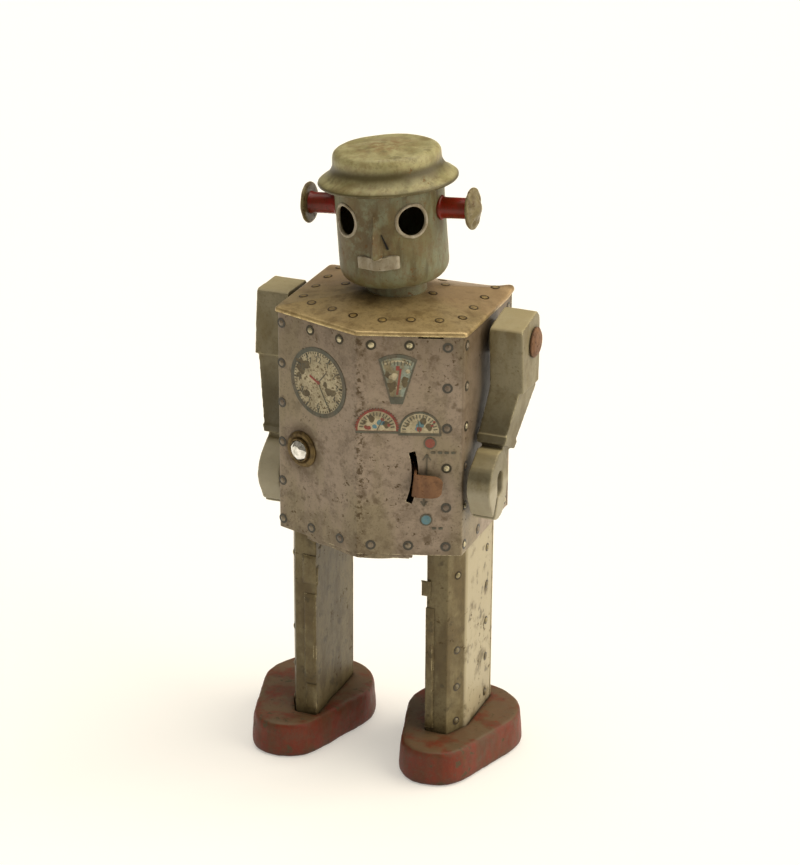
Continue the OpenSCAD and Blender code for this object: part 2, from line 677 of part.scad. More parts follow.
module foot(s) color("brown") leg_place(s) difference() {
    translate([foot_x - s * foot_shift, heel_y - s * crank_throw, 0]) rotate([0, 0, -s * foot_turn]) hull() {
        foot_puck(heel_r);
        translate([0, -foot_span, 0]) foot_puck(toe_r);
    }
    translate([0, 0, leg_bottom]) linear_extrude(pocket + 1) polygon(inset(leg_plan, -touch));
}
module foot_left() foot(1);
module foot_right() foot(-1);

// ---------- lever ----------

// The lever about its post, seen square to the panel
module speed_lever() color("sienna") on_panel() translate([post_u, slot_z, 0])
    rotate([0, 0, -lever_rest]) union() {
        difference() {
            translate([-1.6, -1.2, -lever_in]) cube([lever_r + 1.6, 2.4, lever_t]);
            translate([0, 0, -lever_in - 1]) cylinder(r = post_r + run, h = 3);
        }
        translate([lever_r - lever_t / 2, -tab_h / 2, -lever_in]) cube([lever_t, tab_h, lever_in + 2.4]);
        translate([lever_r - lever_t / 2, -tab_h / 2, 1.9]) cube([5.0, tab_h, 0.5]);
    }

// The post stands on the inside of the other front panel
module lever_post() color("silver") intersection() {
    on_panel() translate([post_u, slot_z, -lever_in - 1]) cylinder(r = post_r, h = lever_in);
    translate([0, 0, body_bottom]) linear_extrude(body_h) polygon(inset(body_plan, tin));
}

front_casing();
back_cover();
shoulder_plate();
base_plate();
neck();
head_shell();
hat();
ear_rods();
ear_cap_left();
ear_cap_right();
jewel_bezel();
jewel_glass();
shoulder_axle();
arm_rivets();
arm_left();
arm_right();
motor_frame();
motor_back_plate();
motor_pillars();
bearing_bushes();
mainspring();
winding_arbor();
ratchet_wheel();
winding_key();
great_wheel();
click_spring();
second_wheel();
second_pinion();
contrate_wheel();
third_pinion();
governor_wheel();
fly_pinion();
fly_vane();
crankshaft();
drive_pinion();
crank_webs();
leg_left();
leg_cover_left();
hip_block_left();
foot_left();
leg_right();
leg_cover_right();
hip_block_right();
foot_right();
speed_lever();
lever_post();
guide_pins();
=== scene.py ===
# %% [markdown]
# # A tin wind-up robot, dressed for the camera
# The frame below is a finished set of solids: body, head, arms, legs and clockwork, each in its true place.
# This script never moves them. It gives each one a finish. Where pressed tin or cast metal has softer edges
# than a solid model, it makes a new mesh over the same place and hides the plain one.
# Lengths are written in millimetres, because that is how a toymaker thinks, and turned to metres at the end.

# %% Load the frame
import bmesh
import bpy
import math
import random
from mathutils import Matrix, Vector, noise


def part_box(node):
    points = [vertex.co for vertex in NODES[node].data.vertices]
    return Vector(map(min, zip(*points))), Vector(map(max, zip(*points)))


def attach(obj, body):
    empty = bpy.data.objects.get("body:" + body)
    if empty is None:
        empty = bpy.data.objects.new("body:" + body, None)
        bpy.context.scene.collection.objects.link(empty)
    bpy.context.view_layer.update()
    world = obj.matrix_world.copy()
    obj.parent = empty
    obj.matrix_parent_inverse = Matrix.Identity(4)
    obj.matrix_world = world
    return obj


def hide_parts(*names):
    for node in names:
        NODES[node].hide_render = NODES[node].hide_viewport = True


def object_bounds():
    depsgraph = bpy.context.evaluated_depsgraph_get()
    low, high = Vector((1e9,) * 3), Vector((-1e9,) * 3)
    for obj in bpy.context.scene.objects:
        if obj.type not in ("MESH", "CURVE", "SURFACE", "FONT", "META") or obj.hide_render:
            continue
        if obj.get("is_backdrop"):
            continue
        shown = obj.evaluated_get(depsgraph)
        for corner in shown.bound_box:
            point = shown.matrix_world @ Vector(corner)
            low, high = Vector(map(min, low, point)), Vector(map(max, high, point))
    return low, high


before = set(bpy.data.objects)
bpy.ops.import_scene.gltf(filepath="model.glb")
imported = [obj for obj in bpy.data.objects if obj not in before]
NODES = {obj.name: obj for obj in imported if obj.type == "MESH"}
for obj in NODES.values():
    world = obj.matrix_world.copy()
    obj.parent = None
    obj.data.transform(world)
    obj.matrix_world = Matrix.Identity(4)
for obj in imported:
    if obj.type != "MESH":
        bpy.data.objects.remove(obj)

cad_box = [list(corner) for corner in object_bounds()]
MM = 0.001
print("CAD box in mm:", [[round(v / MM, 1) for v in corner] for corner in cad_box])


# %% [markdown]
# ## Places that come from the frame
# A box round a node tells where the node is. The body is a folded sheet, so its front corner is found as the
# point furthest forward on its side. The head leans, and the line between its two ears gives the lean.

# %% Body and head places
def box_mm(node):
    low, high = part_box(node)
    return low / MM, high / MM


def middle(node):
    low, high = box_mm(node)
    return (low + high) / 2


case_low, case_high = box_mm("front_casing")
HALF_W, TOP, BOTTOM = case_high.x, case_high.z, case_low.z
PROW_Y, TIN = case_low.y, 0.4
BACK_Y = box_mm("back_cover")[1].y
SIDE_FRONT = min(v.co.y / MM for v in NODES["front_casing"].data.vertices if v.co.x / MM > HALF_W - 0.01)
PANEL_W = math.hypot(HALF_W, SIDE_FRONT - PROW_Y)

ear_left, ear_right = middle("ear_cap_left"), middle("ear_cap_right")
EAR_LINE = (ear_left - ear_right).normalized()
HEAD_UP = Vector((-EAR_LINE.z, 0, EAR_LINE.x))
EAR_H = 16.5                                   # height of the ears above the neck's foot
HEAD_ROOT = (ear_left + ear_right) / 2 - HEAD_UP * EAR_H
HEAD_R = 10.7
print("panel width", round(PANEL_W, 2), "head lean", round(math.degrees(math.asin(EAR_LINE.z)), 2))


def panel_point(side, u, z, lift=0.0):
    """A point on a front panel: u runs out from the prow crease, and lift stands off the tin."""
    along = Vector((side * HALF_W, SIDE_FRONT - PROW_Y, 0)) / PANEL_W
    out = Vector((side * (SIDE_FRONT - PROW_Y), -HALF_W, 0)) / PANEL_W
    return Vector((0, PROW_Y, z)) + along * u + out * lift


def head_point(angle, radius, height):
    """A point about the head's own axis: angle 0 faces forward and grows towards the robot's left."""
    a = math.radians(angle)
    sideways, forward = EAR_LINE * (radius * math.sin(a)), Vector((0, -radius * math.cos(a), 0))
    return HEAD_ROOT + HEAD_UP * height + sideways + forward


# %% [markdown]
# ## Camera
# A long lens from above and from the robot's left shows both front panels at once, with little distortion, as
# in a picture for a sale. The floor and the lights come at the end of the script.

# %% Camera
EYE = Vector((194.5, -499.1, 284.2))
AZIMUTH, ELEVATION, ROLL = 21.21, 22.22, 0.36
LENS_MM, SENSOR_MM = 130.98, 36


def look_matrix(eye, azimuth, elevation, roll):
    az, el, ro = (math.radians(v) for v in (azimuth, elevation, roll))
    back = Vector((math.sin(az) * math.cos(el), -math.cos(az) * math.cos(el), math.sin(el)))
    right = Vector((0, 0, 1)).cross(back).normalized()
    up = back.cross(right)
    turned = [right * math.cos(ro) + up * math.sin(ro), up * math.cos(ro) - right * math.sin(ro), back]
    matrix = Matrix.Identity(4)
    for column, axis in enumerate(turned):
        for row in range(3):
            matrix[row][column] = axis[row]
    matrix.translation = eye * MM
    return matrix


camera_data = bpy.data.cameras.new("table_camera")
camera_data.lens, camera_data.sensor_width, camera_data.sensor_fit = LENS_MM, SENSOR_MM, "HORIZONTAL"
camera_data.clip_start, camera_data.clip_end = 0.01, 20
camera = bpy.data.objects.new("table_camera", camera_data)
camera.matrix_world = look_matrix(EYE, AZIMUTH, ELEVATION, ROLL)
bpy.context.collection.objects.link(camera)
bpy.context.scene.camera = camera
print("camera is", round((EYE - Vector((0, 0, 60))).length), "mm from the robot")


# %% [markdown]
# ## Colour and node helpers
# Colours are written as sRGB hex values, as on a paint chart, and one function turns them to the linear
# numbers that a shader wants. One more function adds a node with its settings and its links, so that each
# finish below reads as a short recipe.

# %% Helpers for finishes
def srgb(text):
    values = [int(text[i:i + 2], 16) / 255 for i in (1, 3, 5)]
    return tuple(v / 12.92 if v <= 0.04045 else ((v + 0.055) / 1.055) ** 2.4 for v in values) + (1.0,)


def add(tree, kind, inputs=None, **settings):
    """Adds one node. Each entry of inputs is a value, or another node's output to link from."""
    made = tree.nodes.new(kind)
    for key, value in settings.items():
        setattr(made, key, value)
    for key, value in (inputs or {}).items():
        if isinstance(value, bpy.types.NodeSocket):
            tree.links.new(value, made.inputs[key])
        else:
            made.inputs[key].default_value = value
    return made


def calc(tree, operation, a, b=0.0, clamp=False):
    return add(tree, "ShaderNodeMath", {0: a, 1: b}, operation=operation, use_clamp=clamp).outputs[0]


def blend_colour(tree, amount, a, b, how="MIX"):
    made = add(tree, "ShaderNodeMix", {0: amount, 6: a, 7: b}, data_type="RGBA", blend_type=how)
    return made.outputs[2]


def step_up(tree, value, low, high):
    """0 below low, 1 above high and a smooth rise between."""
    inputs = {"Value": value, "From Min": low, "From Max": high}
    return add(tree, "ShaderNodeMapRange", inputs, interpolation_type="SMOOTHSTEP").outputs[0]


def step_down(tree, value, low, high):
    """1 below low and 0 above high."""
    return calc(tree, "SUBTRACT", 1.0, step_up(tree, value, low, high))


def times(tree, first, *others):
    for other in others:
        first = calc(tree, "MULTIPLY", first, other)
    return first


def stain(tree, colour, paint, *amounts):
    """Lays a paint over a colour; the amounts are multiplied together."""
    return blend_colour(tree, times(tree, *amounts), colour, srgb(paint))


def axes_of(tree, vector):
    return add(tree, "ShaderNodeSeparateXYZ", {0: vector}).outputs


def true_normal(tree):
    return add(tree, "ShaderNodeNewGeometry").outputs["Normal"]


def dot(tree, a, b):
    return add(tree, "ShaderNodeVectorMath", {0: a, 1: b}, operation="DOT_PRODUCT").outputs["Value"]


def mm_place(tree, stretch=(1, 1, 1)):
    """Object coordinates in millimetres, so that a pattern's size is a real size."""
    place = add(tree, "ShaderNodeTexCoord").outputs["Object"]
    scale = tuple(s / MM for s in stretch)
    return add(tree, "ShaderNodeVectorMath", {0: place, 1: scale}, operation="MULTIPLY").outputs[0]


def grain(tree, place, size, detail=3.0, rough=0.6, shift=0.0):
    """Noise whose features are about size millimetres across."""
    moved = add(tree, "ShaderNodeVectorMath", {0: place, 1: (shift, shift * 0.7, -shift)}, operation="ADD")
    inputs = {"Vector": moved.outputs[0], "Scale": 1 / size, "Detail": detail, "Roughness": rough}
    return add(tree, "ShaderNodeTexNoise", inputs).outputs["Fac"]


def blotch(tree, place, size, low, high, shift=0.0, detail=4, rough=0.6):
    """Patches of noise about size millimetres across; low and high set how much they cover."""
    return step_up(tree, grain(tree, place, size, detail, rough, shift), low, high)


def near(tree, place, point, inner, outer):
    """1 within inner millimetres of a point, falling to 0 at outer."""
    away = add(tree, "ShaderNodeVectorMath", {0: place, 1: tuple(point)}, operation="DISTANCE")
    return step_down(tree, away.outputs["Value"], inner, outer)


def relief_of(tree, shader, height, depth_mm, strength):
    bump = add(tree, "ShaderNodeBump", {"Height": height, "Distance": depth_mm * MM, "Strength": strength})
    tree.links.new(bump.outputs[0], shader.inputs["Normal"])


def start_finish(name, roughness, metallic=0.0, **shader_settings):
    material = bpy.data.materials.new(name)
    material.use_nodes = True
    tree = material.node_tree
    shader = tree.nodes["Principled BSDF"]
    shader.inputs["Roughness"].default_value = roughness
    shader.inputs["Metallic"].default_value = metallic
    for key, value in shader_settings.items():
        shader.inputs[key.replace("_", " ")].default_value = value
    return material, tree, shader


# %% [markdown]
# ## Old paint on metal
# Nearly every surface here is a coat over metal that has aged in the same few ways: the coat has faded in
# patches, rust has come through in specks, the corners and recesses have darkened with painted shade and dirt
# where other surfaces crowd close, and the edges have rubbed bright. One function lays those down in that order,
# and each finish passes its own colours and sizes. A rounded normal tells where an edge is, because it differs
# from the true normal only there.

# %% The aged coat
CORNER_DIRT_AND_SHADE = "#2b2114"


def aged_coat(name, coat, faded, rust, worn, patch_mm=7.0, speck_mm=1.3, speck=0.60, wear_mm=0.35, wear=0.5,
              streak=(1, 1, 0.35), dirt_and_shade=0.5, roughness=0.5, bump_mm=0.03, wobble=0.16, metal=0.0,
              grime=0.34, extra=None):
    """coat fades to faded; rust comes through in specks; worn is the metal on the edges. extra adds marks."""
    material, tree, shader = start_finish(name, roughness, Specular_IOR_Level=0.3)
    place = mm_place(tree)
    drawn = mm_place(tree, streak)
    patches = blotch(tree, drawn, patch_mm, 0.42, 0.62)
    colour = blend_colour(tree, patches, srgb(coat), srgb(faded))
    mottle = grain(tree, drawn, 1.1, 5, 0.7, 31)
    shade = add(tree, "ShaderNodeMapRange", {"Value": mottle, "From Min": 0.25, "From Max": 0.75,
                                             "To Min": 1 - wobble, "To Max": 1 + wobble}).outputs[0]
    colour = add(tree, "ShaderNodeVectorMath", {0: colour, "Scale": shade}, operation="SCALE").outputs[0]
    colour = stain(tree, colour, rust, blotch(tree, place, 3.2, 0.47, 0.63, 63, 5, 0.72), grime)
    colour = stain(tree, colour, rust, blotch(tree, place, 0.55, 0.52, 0.68, 71, 3, 0.7), grime)
    # Specks stand in loose clusters: between the clusters the limit that they must pass is higher
    clusters = blotch(tree, place, 9.0, 0.40, 0.62, 57, 2, 0.5)
    specks = grain(tree, place, speck_mm, 4, 0.65, 83)
    limit = calc(tree, "SUBTRACT", speck + 0.09, times(tree, clusters, 0.09))
    rusty = step_up(tree, calc(tree, "SUBTRACT", specks, limit), 0.0, 0.08)
    if extra:
        colour, rusty = extra(tree, place, colour, rusty)
    colour = stain(tree, colour, rust, rusty, 0.85)
    # Painted shade and dirt: darker where the AO node finds other surfaces close by, in corners and recesses
    closeness = add(tree, "ShaderNodeAmbientOcclusion", {"Distance": 2.2 * MM}, samples=4).outputs["AO"]
    colour = stain(tree, colour, CORNER_DIRT_AND_SHADE, step_down(tree, closeness, 0.35, 0.95), dirt_and_shade)
    rounded = add(tree, "ShaderNodeBevel", {"Radius": wear_mm * MM}, samples=4).outputs["Normal"]
    edge = step_up(tree, calc(tree, "SUBTRACT", 1.0, dot(tree, rounded, true_normal(tree))), 0.015, 0.12)
    rubbed = times(tree, edge, blotch(tree, place, 2.4, 0.62 - 0.3 * wear, 0.72 - 0.2 * wear, 11, 4, 0.7))
    colour = blend_colour(tree, rubbed, colour, srgb(worn))
    tree.links.new(colour, shader.inputs["Base Color"])
    shine = calc(tree, "ADD", metal, times(tree, rubbed, 0.75), clamp=True)
    tree.links.new(shine, shader.inputs["Metallic"])
    gloss = calc(tree, "ADD", roughness - 0.1, times(tree, mottle, 0.2))
    gloss = calc(tree, "ADD", gloss, times(tree, rusty, 0.3), clamp=True)
    tree.links.new(gloss, shader.inputs["Roughness"])
    relief = calc(tree, "SUBTRACT", grain(tree, place, 0.5, 5, 0.7, 5), times(tree, rusty, 0.6))
    relief_of(tree, shader, calc(tree, "ADD", relief, times(tree, patches, 0.3)), bump_mm, 0.8)
    return material


# %% [markdown]
# ## Mesh helpers
# A piece is a list of points in millimetres and a list of faces. The helper turns it to a mesh in metres with
# its object at the origin, sets its material, and makes it ride on a body, so that it moves with the clockwork.

# %% Helpers for pieces
made_pieces = []
WELD_MM = 0.0005


def tidied(mesh, weld_mm, outwards=True):
    """Joins points that lie together and turns the faces outwards."""
    work = bmesh.new()
    work.from_mesh(mesh)
    bmesh.ops.remove_doubles(work, verts=work.verts, dist=weld_mm * MM)
    if outwards:
        bmesh.ops.recalc_face_normals(work, faces=work.faces)
    work.to_mesh(mesh)
    work.free()
    return mesh


def solid_mesh(name, points, faces):
    mesh = bpy.data.meshes.new(name)
    mesh.from_pydata([Vector(p) * MM for p in points], [], faces)
    return tidied(mesh, WELD_MM)


def piece(name, points, faces, material, body, smooth=True):
    return finish_piece(name, solid_mesh(name, points, faces), material, body, smooth)


def finish_piece(name, mesh, material, body, smooth=True):
    """Gives a mesh its finish and hands the piece to its body."""
    mesh.polygons.foreach_set("use_smooth", [smooth] * len(mesh.polygons))
    if not mesh.materials:
        mesh.materials.append(material)
    made = bpy.data.objects.new(name, mesh)
    bpy.context.collection.objects.link(made)
    if smooth:
        mesh.set_sharp_from_angle(angle=math.radians(38))
    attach(made, body)
    made_pieces.append(made)
    return made


def with_modifiers(mesh, *steps):
    """Runs modifiers on a mesh and returns the plain result. A step is a modifier's kind and its settings."""
    holder = bpy.data.objects.new("holder", mesh)
    bpy.context.collection.objects.link(holder)
    for kind, settings in steps:
        modifier = holder.modifiers.new(kind.lower(), kind)
        for key, value in settings.items():
            setattr(modifier, key, value)
    bpy.context.view_layer.update()
    result = bpy.data.meshes.new_from_object(holder.evaluated_get(bpy.context.evaluated_depsgraph_get()))
    bpy.data.objects.remove(holder)
    return result


def grid_faces(rows, columns, closed=False):
    """Faces of a grid of points stored row by row; closed joins the last column to the first."""
    faces = []
    for r in range(rows - 1):
        for c in range(columns if closed else columns - 1):
            d = (c + 1) % columns
            faces.append((r * columns + c, r * columns + d, (r + 1) * columns + d, (r + 1) * columns + c))
    return faces


def sheet_faces(rows, columns):
    """Faces of two grids of points, one layer after the other, closed by a rim into one thin solid."""
    count = rows * columns
    faces = grid_faces(rows, columns)
    faces += [tuple(count + i for i in reversed(face)) for face in faces]
    rim = list(range(columns)) + [r * columns + columns - 1 for r in range(1, rows)]
    rim += [(rows - 1) * columns + c for c in range(columns - 2, -1, -1)]
    rim += [r * columns for r in range(rows - 2, 0, -1)]
    for a, b in zip(rim, rim[1:] + rim[:1]):
        faces.append((b, a, count + a, count + b))
    return faces


def ring_of(radius, count, start=0.0, end=360.0):
    """Points on an arc; a whole turn leaves out the point where it closes."""
    if end - start == 360:
        return [(radius * math.cos(2 * math.pi * k / count), radius * math.sin(2 * math.pi * k / count))
                for k in range(count)]
    turns = [math.radians(a) for a in spread(start, end, count)]
    return [(radius * math.cos(a), radius * math.sin(a)) for a in turns]


def spread(start, end, count):
    return [start + (end - start) * i / (count - 1) for i in range(count)]


def prism(points, push, inner=None):
    """A flat shape given a thickness: points is its rim, and inner has as many points, round a hole."""
    n = len(points)
    rim = [Vector(p) for p in points]
    if inner is None:
        solid = rim + [p + push for p in rim]
        sides = [(i, (i + 1) % n, n + (i + 1) % n, n + i) for i in range(n)]
        return solid, sides + [tuple(range(n)), tuple(range(2 * n - 1, n - 1, -1))]
    hole = [Vector(p) for p in inner]
    solid = rim + hole + [p + push for p in rim] + [p + push for p in hole]
    faces = []
    for i in range(n):
        j = (i + 1) % n
        faces += [(i, j, n + j, n + i), (2 * n + i, 3 * n + i, 3 * n + j, 2 * n + j),
                  (i, 2 * n + i, 2 * n + j, j), (n + i, n + j, 3 * n + j, 3 * n + i)]
    return solid, faces


def merge(parts):
    """Several (points, faces) pairs as one."""
    points, faces = [], []
    for more_points, more_faces in parts:
        faces += [tuple(i + len(points) for i in face) for face in more_faces]
        points += list(more_points)
    return points, faces


def rounded_path(corners, radius, step, closed=True):
    """An outline in the XY plane whose corners are arcs, with a point about every step millimetres."""
    path, count = [], len(corners)
    for i, corner in enumerate(corners):
        here = Vector(corner)
        if not closed and i in (0, count - 1):
            path.append(here)
            continue
        before = (Vector(corners[i - 1]) - here).normalized()
        after = (Vector(corners[(i + 1) % count]) - here).normalized()
        half = before.angle(after) / 2
        reach = radius / math.tan(half)
        centre = here + (before + after).normalized() * (radius / math.sin(half))
        first, last = here + before * reach - centre, here + after * reach - centre
        for t in spread(0, 1, 5):
            path.append(centre + (first * (1 - t) + last * t).normalized() * radius)
    dense = []
    for i in range(len(path) if closed else len(path) - 1):
        a, b = path[i], path[(i + 1) % len(path)]
        pieces_here = max(1, round((b - a).length / step))
        dense += [a + (b - a) * k / pieces_here for k in range(pieces_here)]
    return dense if closed else dense + [path[-1]]


def ripple(point, size, amount, shift=0.0):
    """A smooth, seeded wave between -amount and amount."""
    return amount * noise.noise(Vector(point) / size + Vector((shift, shift, shift)))


# %% [markdown]
# ## Softened castings
# The arms and feet are die castings: their corners are never sharp, and old paint fills them further. A voxel
# remesh of a welded copy rounds every edge by about one voxel, and a few smoothing passes carry that on.
# A slow ripple of a few hundredths of a millimetre takes away the machine-flat look.

# %% Soften a node
def softened(node, voxel_mm, passes, wave_mm, smooth_factor=0.5):
    mesh = tidied(NODES[node].data.copy(), 0.002, outwards=False)
    mesh = with_modifiers(mesh, ("REMESH", dict(mode="VOXEL", voxel_size=voxel_mm * MM, adaptivity=0)),
                          ("SMOOTH", dict(factor=smooth_factor, iterations=passes)))
    mesh.materials.clear()
    outwards = [vertex.normal.copy() for vertex in mesh.vertices]
    for vertex, out in zip(mesh.vertices, outwards):
        here = vertex.co / MM
        vertex.co += out * (ripple(here, 5, wave_mm) + ripple(here, 1.6, wave_mm * 0.4, 9)) * MM
    return mesh


def soften(node, name, material, body, voxel_mm, passes, wave_mm):
    made = finish_piece(name, softened(node, voxel_mm, passes, wave_mm), material, body)
    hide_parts(node)
    print(name, "has", len(made.data.polygons), "faces")
    return made


# %% [markdown]
# ## Finishes of the robot
# Each finish is one call with this object's own colours: the printed tin of the body, the gold lacquer of the
# shoulders, the grey-green head, the khaki hat, the grey castings, the olive legs and the brick-red feet.

# %% Marks that belong to one place
JEWEL_U, JEWEL_Z = 14.3, 65.9
jewel_spot = panel_point(-1, JEWEL_U, JEWEL_Z)
BRIM_HEIGHT = 25.0      # from the shoulder plate up to the foot of the hat's crown
STAIN_AND_SHADE_BROWN = "#54432c"


def body_marks(tree, place, colour, rusty):
    """Corrosion along the prow crease, brown stains, painted shade darkening the top of the body, painted shadow of the
    arms on the upper sides, partly a brown stain, and the darker stain that has crept out from the jewel.
    """
    axes = axes_of(tree, place)
    front = step_up(tree, axes["Y"], SIDE_FRONT - 1, SIDE_FRONT - 3)
    off_crease = calc(tree, "ABSOLUTE", calc(tree, "SUBTRACT", axes["X"], 0.5))
    crease = times(tree, step_down(tree, off_crease, 0.2, 1.7), front)
    pits = blotch(tree, place, 0.9, 0.50, 0.60, 21, 4, 0.7)
    rusty = calc(tree, "MAXIMUM", rusty, times(tree, crease, pits))
    uneven = calc(tree, "ADD", axes["Z"], times(tree, grain(tree, place, 5, 3, 0.6, 33), 10))
    # Painted shade: the body darkens towards its top, under the shoulder plate
    colour = stain(tree, colour, STAIN_AND_SHADE_BROWN, step_up(tree, uneven, 84, 96), 0.35)
    colour = stain(tree, colour, STAIN_AND_SHADE_BROWN, blotch(tree, place, 3.4, 0.56, 0.70, 73), 0.65)
    ring = near(tree, place, jewel_spot, 3.4, 6.6)
    colour = stain(tree, colour, "#4e3a1f", ring, blotch(tree, place, 2.6, 0.25, 0.55, 3, 3), 0.8)
    # Painted shadow of the arms on the upper sides, partly a brown stain
    arm_shadow_side = step_up(tree, axes["X"], HALF_W - 0.5, HALF_W - 0.15)
    colour = stain(tree, colour, "#4f3f28", arm_shadow_side, step_up(tree, axes["Z"], 62, 72), 0.5)
    foot = step_down(tree, axes["Z"], BOTTOM + 0.5, BOTTOM + 9)
    colour = stain(tree, colour, "#5a4a34", foot, blotch(tree, place, 3.5, 0.35, 0.65, 61), 0.45)
    return colour, rusty


def leg_marks(tree, place, colour, rusty):
    """The outer side of each leg is paler in patches as painted light, and the damp has left dark blots."""
    # Painted light: the outer side faces of the legs are made paler
    outer = step_up(tree, calc(tree, "ABSOLUTE", axes_of(tree, place)["X"]), 17.9, 18.25)
    colour = stain(tree, colour, "#b7ac8e", outer, blotch(tree, place, 5, 0.30, 0.48, 41), 0.75)
    return stain(tree, colour, "#3f3723", blotch(tree, place, 3.2, 0.60, 0.68, 66, 3, 0.55), 0.6), rusty


def foot_marks(tree, place, colour, rusty):
    """The tops have lost their red to a greenish brown, while the sides have kept it."""
    top = step_up(tree, axes_of(tree, true_normal(tree))["Z"], 0.6, 0.9)
    return stain(tree, colour, "#63533a", top, blotch(tree, place, 5, 0.36, 0.56, 91), 0.8), rusty


def plate_marks(tree, place, colour, rusty):
    """The back of the plate is a dull pinkish brown, and brown has pooled in its hollows."""
    uneven = calc(tree, "ADD", axes_of(tree, place)["Y"], times(tree, grain(tree, place, 6, 3, 0.5, 17), 14))
    colour = stain(tree, colour, "#a88a68", step_up(tree, uneven, 0, 9), 0.6)
    return stain(tree, colour, "#6a5430", blotch(tree, place, 5, 0.50, 0.66, 95), 0.45), rusty


def crown_marks(tree, place, colour, rusty):
    """Dirt in patches, painted shade on the steep brim, and brown rubbing in the middle of the crown, where fingers
    lifted the hat.
    """
    colour = stain(tree, colour, "#55492a", blotch(tree, place, 2.6, 0.52, 0.68, 38, 4, 0.65), 0.5)
    # Painted shade: the steep, low faces of the brim are darkened
    shaded_steep = step_down(tree, dot(tree, true_normal(tree), tuple(HEAD_UP)), 0.45, 0.97)
    crown_foot = HEAD_ROOT.dot(HEAD_UP) + BRIM_HEIGHT
    low = step_down(tree, dot(tree, place, tuple(HEAD_UP)), crown_foot, crown_foot + 1.6)
    colour = stain(tree, colour, "#463e22", shaded_steep, low, 0.9)
    worn = near(tree, place, HEAD_ROOT + HEAD_UP * 28, 2.0, 8.5)
    return stain(tree, colour, "#7d6038", worn, blotch(tree, place, 2.2, 0.42, 0.60, 15, 4, 0.7), 0.7), rusty


def face_marks(tree, place, colour, rusty):
    """The face's middle has rubbed through to brown, while the cheeks keep the grey-green paint."""
    downwards = mm_place(tree, (1, 1, 0.22))
    colour = stain(tree, colour, "#4c4228", blotch(tree, downwards, 2.2, 0.52, 0.68, 52, 4, 0.65), 0.55)
    worn = near(tree, place, head_point(-8, HEAD_R, 13.5), 3.5, 11)
    return stain(tree, colour, "#5e4c2c", worn, blotch(tree, place, 2.5, 0.36, 0.58, 44, 5, 0.7), 0.85), rusty


def arm_marks(tree, place, colour, rusty):
    """Painted light makes the arms' tops paler and painted shade darkens the forearms' front and outer faces; the hands
    have bleached.
    """
    height = axes_of(tree, place)["Z"]
    facing = axes_of(tree, true_normal(tree))
    # Painted light: faces turned upwards are paler
    colour = stain(tree, colour, "#b8a97e", step_up(tree, facing["Z"], 0.5, 0.95), 0.5)
    # Painted shade: the forearms' front and outer faces are darker
    forward = step_up(tree, times(tree, facing["Y"], -1.0), 0.35, 0.85)
    outward = times(tree, step_up(tree, calc(tree, "ABSOLUTE", facing["X"]), 0.4, 0.9), 0.45)
    forearm = times(tree, step_down(tree, height, 72, 80), step_up(tree, height, 63.5, 65))
    colour = stain(tree, colour, "#3a3524", calc(tree, "MAXIMUM", forward, outward), forearm, 0.6)
    return stain(tree, colour, "#b0a994", step_down(tree, height, 61.5, 63.5), 0.5), rusty


# %% Painted and printed finishes
# Printed tinplate: lithographed, so smooth and a little glossy, pinkish grey with brown foxing.
printed_tin = aged_coat("printed_tinplate", "#988876", "#8b7e64", "#4a3a24", "#cbbf9f", patch_mm=11,
                        speck_mm=0.9, speck=0.585, wear_mm=0.3, wear=0.45, roughness=0.42, bump_mm=0.012,
                        wobble=0.08, extra=body_marks)
# Gold-lacquered tinplate: a clear yellow coat over tin, so the edges shine like brass. The pale worn colour
# on its edges is partly real wear and partly a painted highlight along the rims.
gold_tin = aged_coat("gold_lacquered_tinplate", "#b19b6f", "#b29b6c", "#5b4222", "#f0dfa8", patch_mm=9,
                     speck_mm=1.0, speck=0.66, wear_mm=0.45, wear=0.8, roughness=0.34, bump_mm=0.012,
                     wobble=0.1, metal=0.45, extra=plate_marks)
# Grey-green paint over drawn tin: thick brush paint, chalky where it has faded.
head_paint = aged_coat("grey_green_brush_paint", "#7b7d62", "#6f6745", "#6b4a28", "#b5a67c", patch_mm=5,
                       speck_mm=1.4, speck=0.60, wear_mm=0.3, wear=0.5, streak=(1, 1, 0.45), roughness=0.5,
                       bump_mm=0.03, extra=face_marks)
# Khaki paint over pressed tin, greasy from handling.
hat_paint = aged_coat("khaki_paint_on_pressed_tin", "#a39c70", "#8d865a", "#6d5028", "#c6b98a", patch_mm=5,
                      speck_mm=1.6, speck=0.63, wear_mm=0.4, wear=0.6, streak=(1, 1, 0.8), roughness=0.42,
                      bump_mm=0.03, extra=crown_marks)
# Grey paint on a die casting: flat and slightly coarse. The pale worn colour on the arms' edges is
# partly real wear and partly a painted highlight.
cast_grey = aged_coat("grey_paint_on_die_casting", "#857d63", "#74694a", "#5e5031", "#bdb592", patch_mm=6,
                      speck_mm=1.2, speck=0.64, wear_mm=0.5, wear=0.75, roughness=0.5, bump_mm=0.04,
                      wobble=0.1, extra=arm_marks)
# Olive lacquer on folded tin, pitted by damp.
olive_tin = aged_coat("olive_lacquer_on_folded_tin", "#756949", "#5f5132", "#4a3c22", "#bcae86", patch_mm=5,
                      speck_mm=1.5, speck=0.575, wear_mm=0.35, wear=0.45, streak=(1, 1, 0.5), roughness=0.45,
                      bump_mm=0.03, extra=leg_marks)
# Brick-red paint worn through to greenish grey on top.
brick_red = aged_coat("brick_red_paint_on_casting", "#6c2b15", "#5c3319", "#4c4632", "#8d7c5c", patch_mm=4.5,
                      speck_mm=1.8, speck=0.56, wear_mm=0.6, wear=0.7, roughness=0.5, bump_mm=0.05,
                      wobble=0.2, extra=foot_marks)
